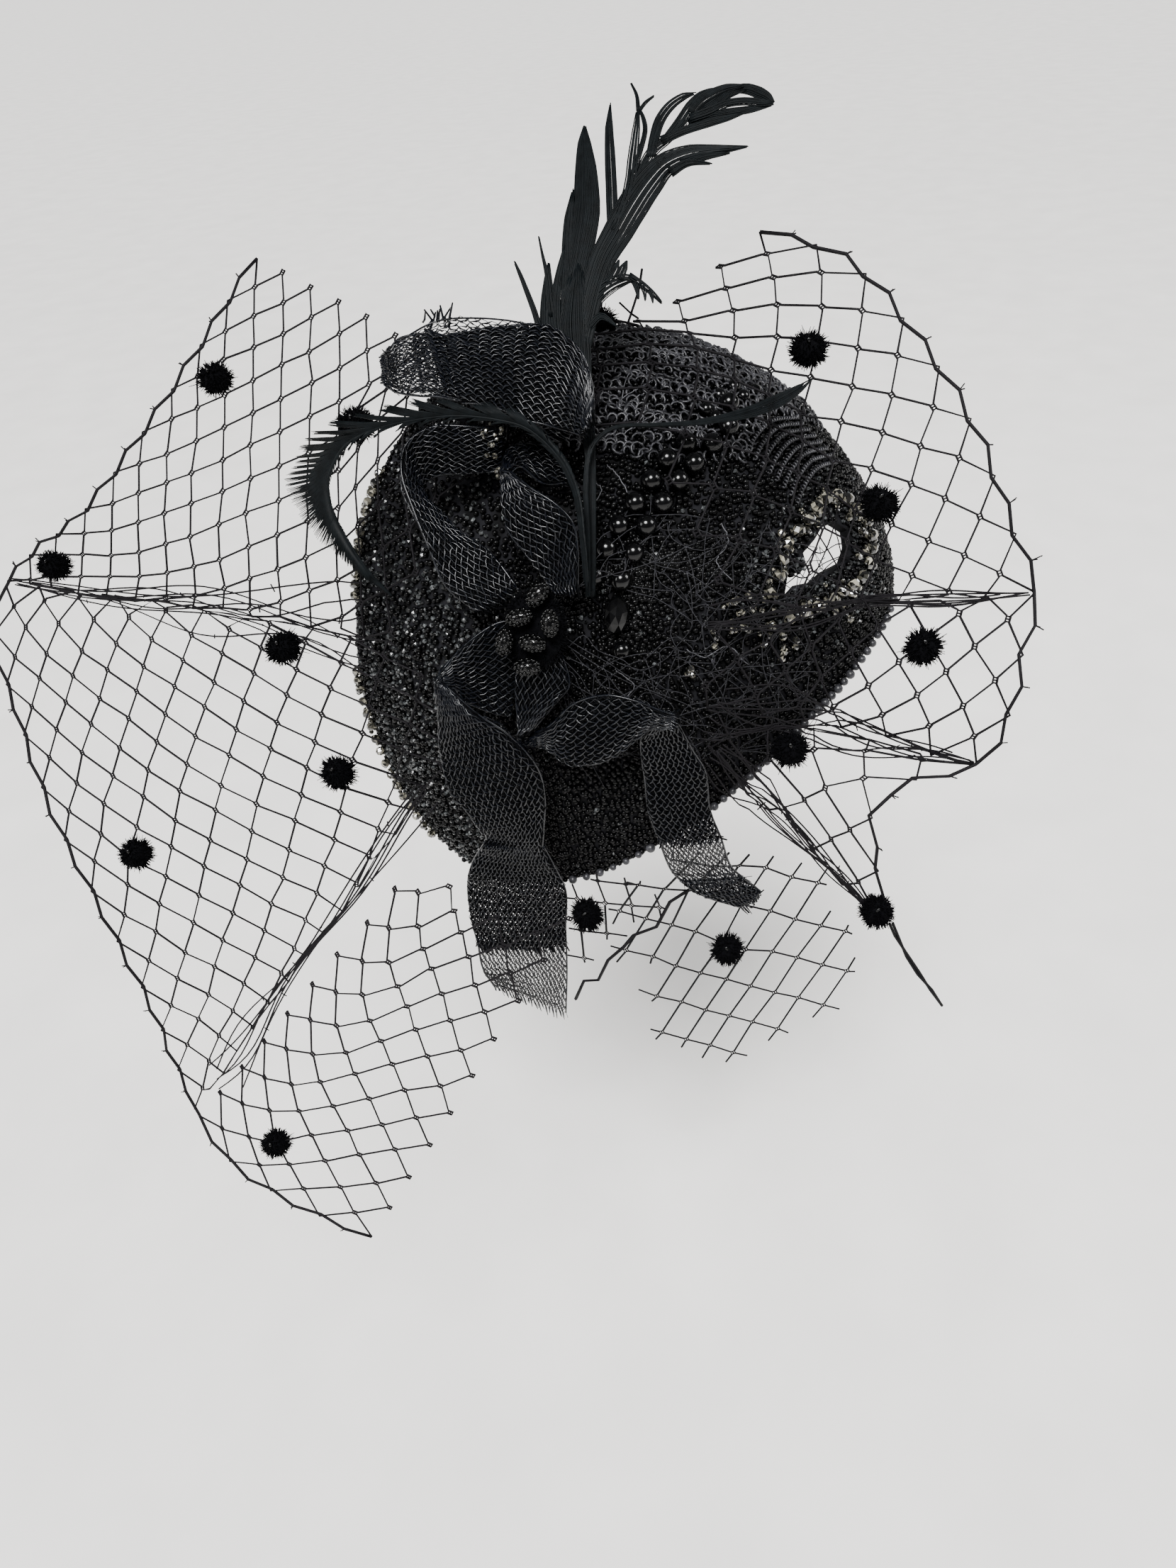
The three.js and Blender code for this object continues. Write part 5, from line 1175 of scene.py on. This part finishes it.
# the net's gathered beginning: three layers of its cells lie crumpled over the cap's front
gatherLook = {"thread": 0.12, "cell": 8.6, "stray": 1.9, "lift": (2.3, 4.6), "steps": 6, "cells": 9, "sway": 1.2,
              "knot": 0.8, "strandLift": (8, 2.6), "strandStray": 1.3}


# Clear of the flower and its lowest bead, and below the loops.
def covered(spot):
    across, up = spot
    return (14 < across < 78 and -42 < up < 27 and up < 46 - 0.3 * across and np.hypot(across, up) > 20
            and np.hypot(across - 23, up + 1) > 9)


gathered = []
share = np.linspace(0, 1, gatherLook["steps"])
cells = range(-gatherLook["cells"], gatherLook["cells"] + 1)
for slant, start in ((12, (20, -12)), (38, (23, -6)), (64, (18, 0))):
    c, s = flatPlace(slant, 1)
    ways = np.array([[c, s], [-s, c]]) * gatherLook["cell"]
    spots = {(i, j): start + i * ways[0] * (1 + 0.03 * i) + j * ways[1] + draw.normal(0, gatherLook["stray"], 2)
             for i in cells for j in cells}
    lifts = {key: draw.uniform(*gatherLook["lift"]) for key in spots}
    for (i, j), spot in spots.items():
        for other in ((i + 1, j), (i, j + 1)):
            if other in spots and covered(spot) and covered(spots[other]):
                sway = np.outer(np.sin(math.pi * share), draw.normal(0, gatherLook["sway"], 2))
                gathered.append(onCap(spot + (spots[other] - spot) * share[:, None] + sway,
                                      lifts[i, j] + (lifts[other] - lifts[i, j]) * share))
        if covered(spot):
            gathered.append(onCap(spot + draw.normal(0, gatherLook["knot"], (4, 2)), lifts[i, j]))
# its bundled strands fan out from the flower's side
for bearing in [*np.linspace(-75, -24, 12), *np.linspace(26, 48, 5)]:
    rows = [flatPlace(bearing, reach) + draw.normal(0, gatherLook["strandStray"], 2)
            for reach in np.linspace(12, draw.uniform(26, 60), 6)]
    gathered.append(smoothLine(onCap(rows, np.linspace(*gatherLook["strandLift"], 6)), 16))
# the gathered net takes the greyer thread colour as painted light
addPiece("gathered_net", threadMesh(gathered, gatherLook["thread"]), "litNetThread")
print("trims")

# ---- chenille dots: cut fibres stand out all round a short stalk, held by a small polished clasp ----
dotLook = {"fibres": 820, "core": 4.4, "long": (5.1, 5.9), "tall": 0.92, "fibre": 0.17, "stray": 3,
           "strayLong": (1.2, 1.5), "clasp": (0.9, 0.5, 0.5), "claspOut": 5.2}
for number, middle in enumerate(dotMiddles, 1):
    stalk = unit(upWay + acrossWay * draw.normal(0, 0.5) + flowerWay * draw.normal(0, 0.2))
    first = unit(np.cross(stalk, flowerWay))
    turn = np.column_stack([stalk, first, np.cross(stalk, first)])
    ways = unit(draw.normal(size=(dotLook["fibres"], 3))) * [dotLook["tall"], 1, 1] @ turn.T
    long = draw.uniform(*dotLook["long"], dotLook["fibres"])
    long[:dotLook["stray"]] *= draw.uniform(*dotLook["strayLong"], dotLook["stray"])
    feet = middle + ways * dotLook["core"] * 0.9
    tips = middle + ways * long[:, None] + draw.normal(0, 0.5, ways.shape)
    mesh = threadMesh(np.stack([feet, tips], 1), dotLook["fibre"], [[1, 0.5]] * len(feet))
    addPiece(f"tuft_{number:02d}", mesh, "chenille", [f"dot_{number:02d}"])
    sizes = np.array([dotLook["tall"], 1, 1]) * dotLook["core"]
    addPiece(f"tuft_core_{number:02d}", ball(3, middle, turn, sizes), "chenille")
    front = middle + unit(flowerWay + upWay * 0.4) * dotLook["claspOut"]
    addPiece(f"tuft_clasp_{number:02d}", ball(2, front, turn, dotLook["clasp"]), "jet")
print("dots")

# ---- the comb keeps its own shape ----
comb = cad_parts["hair_comb"]
comb.data.materials.clear()
comb.data.materials.append(materials["comb"])
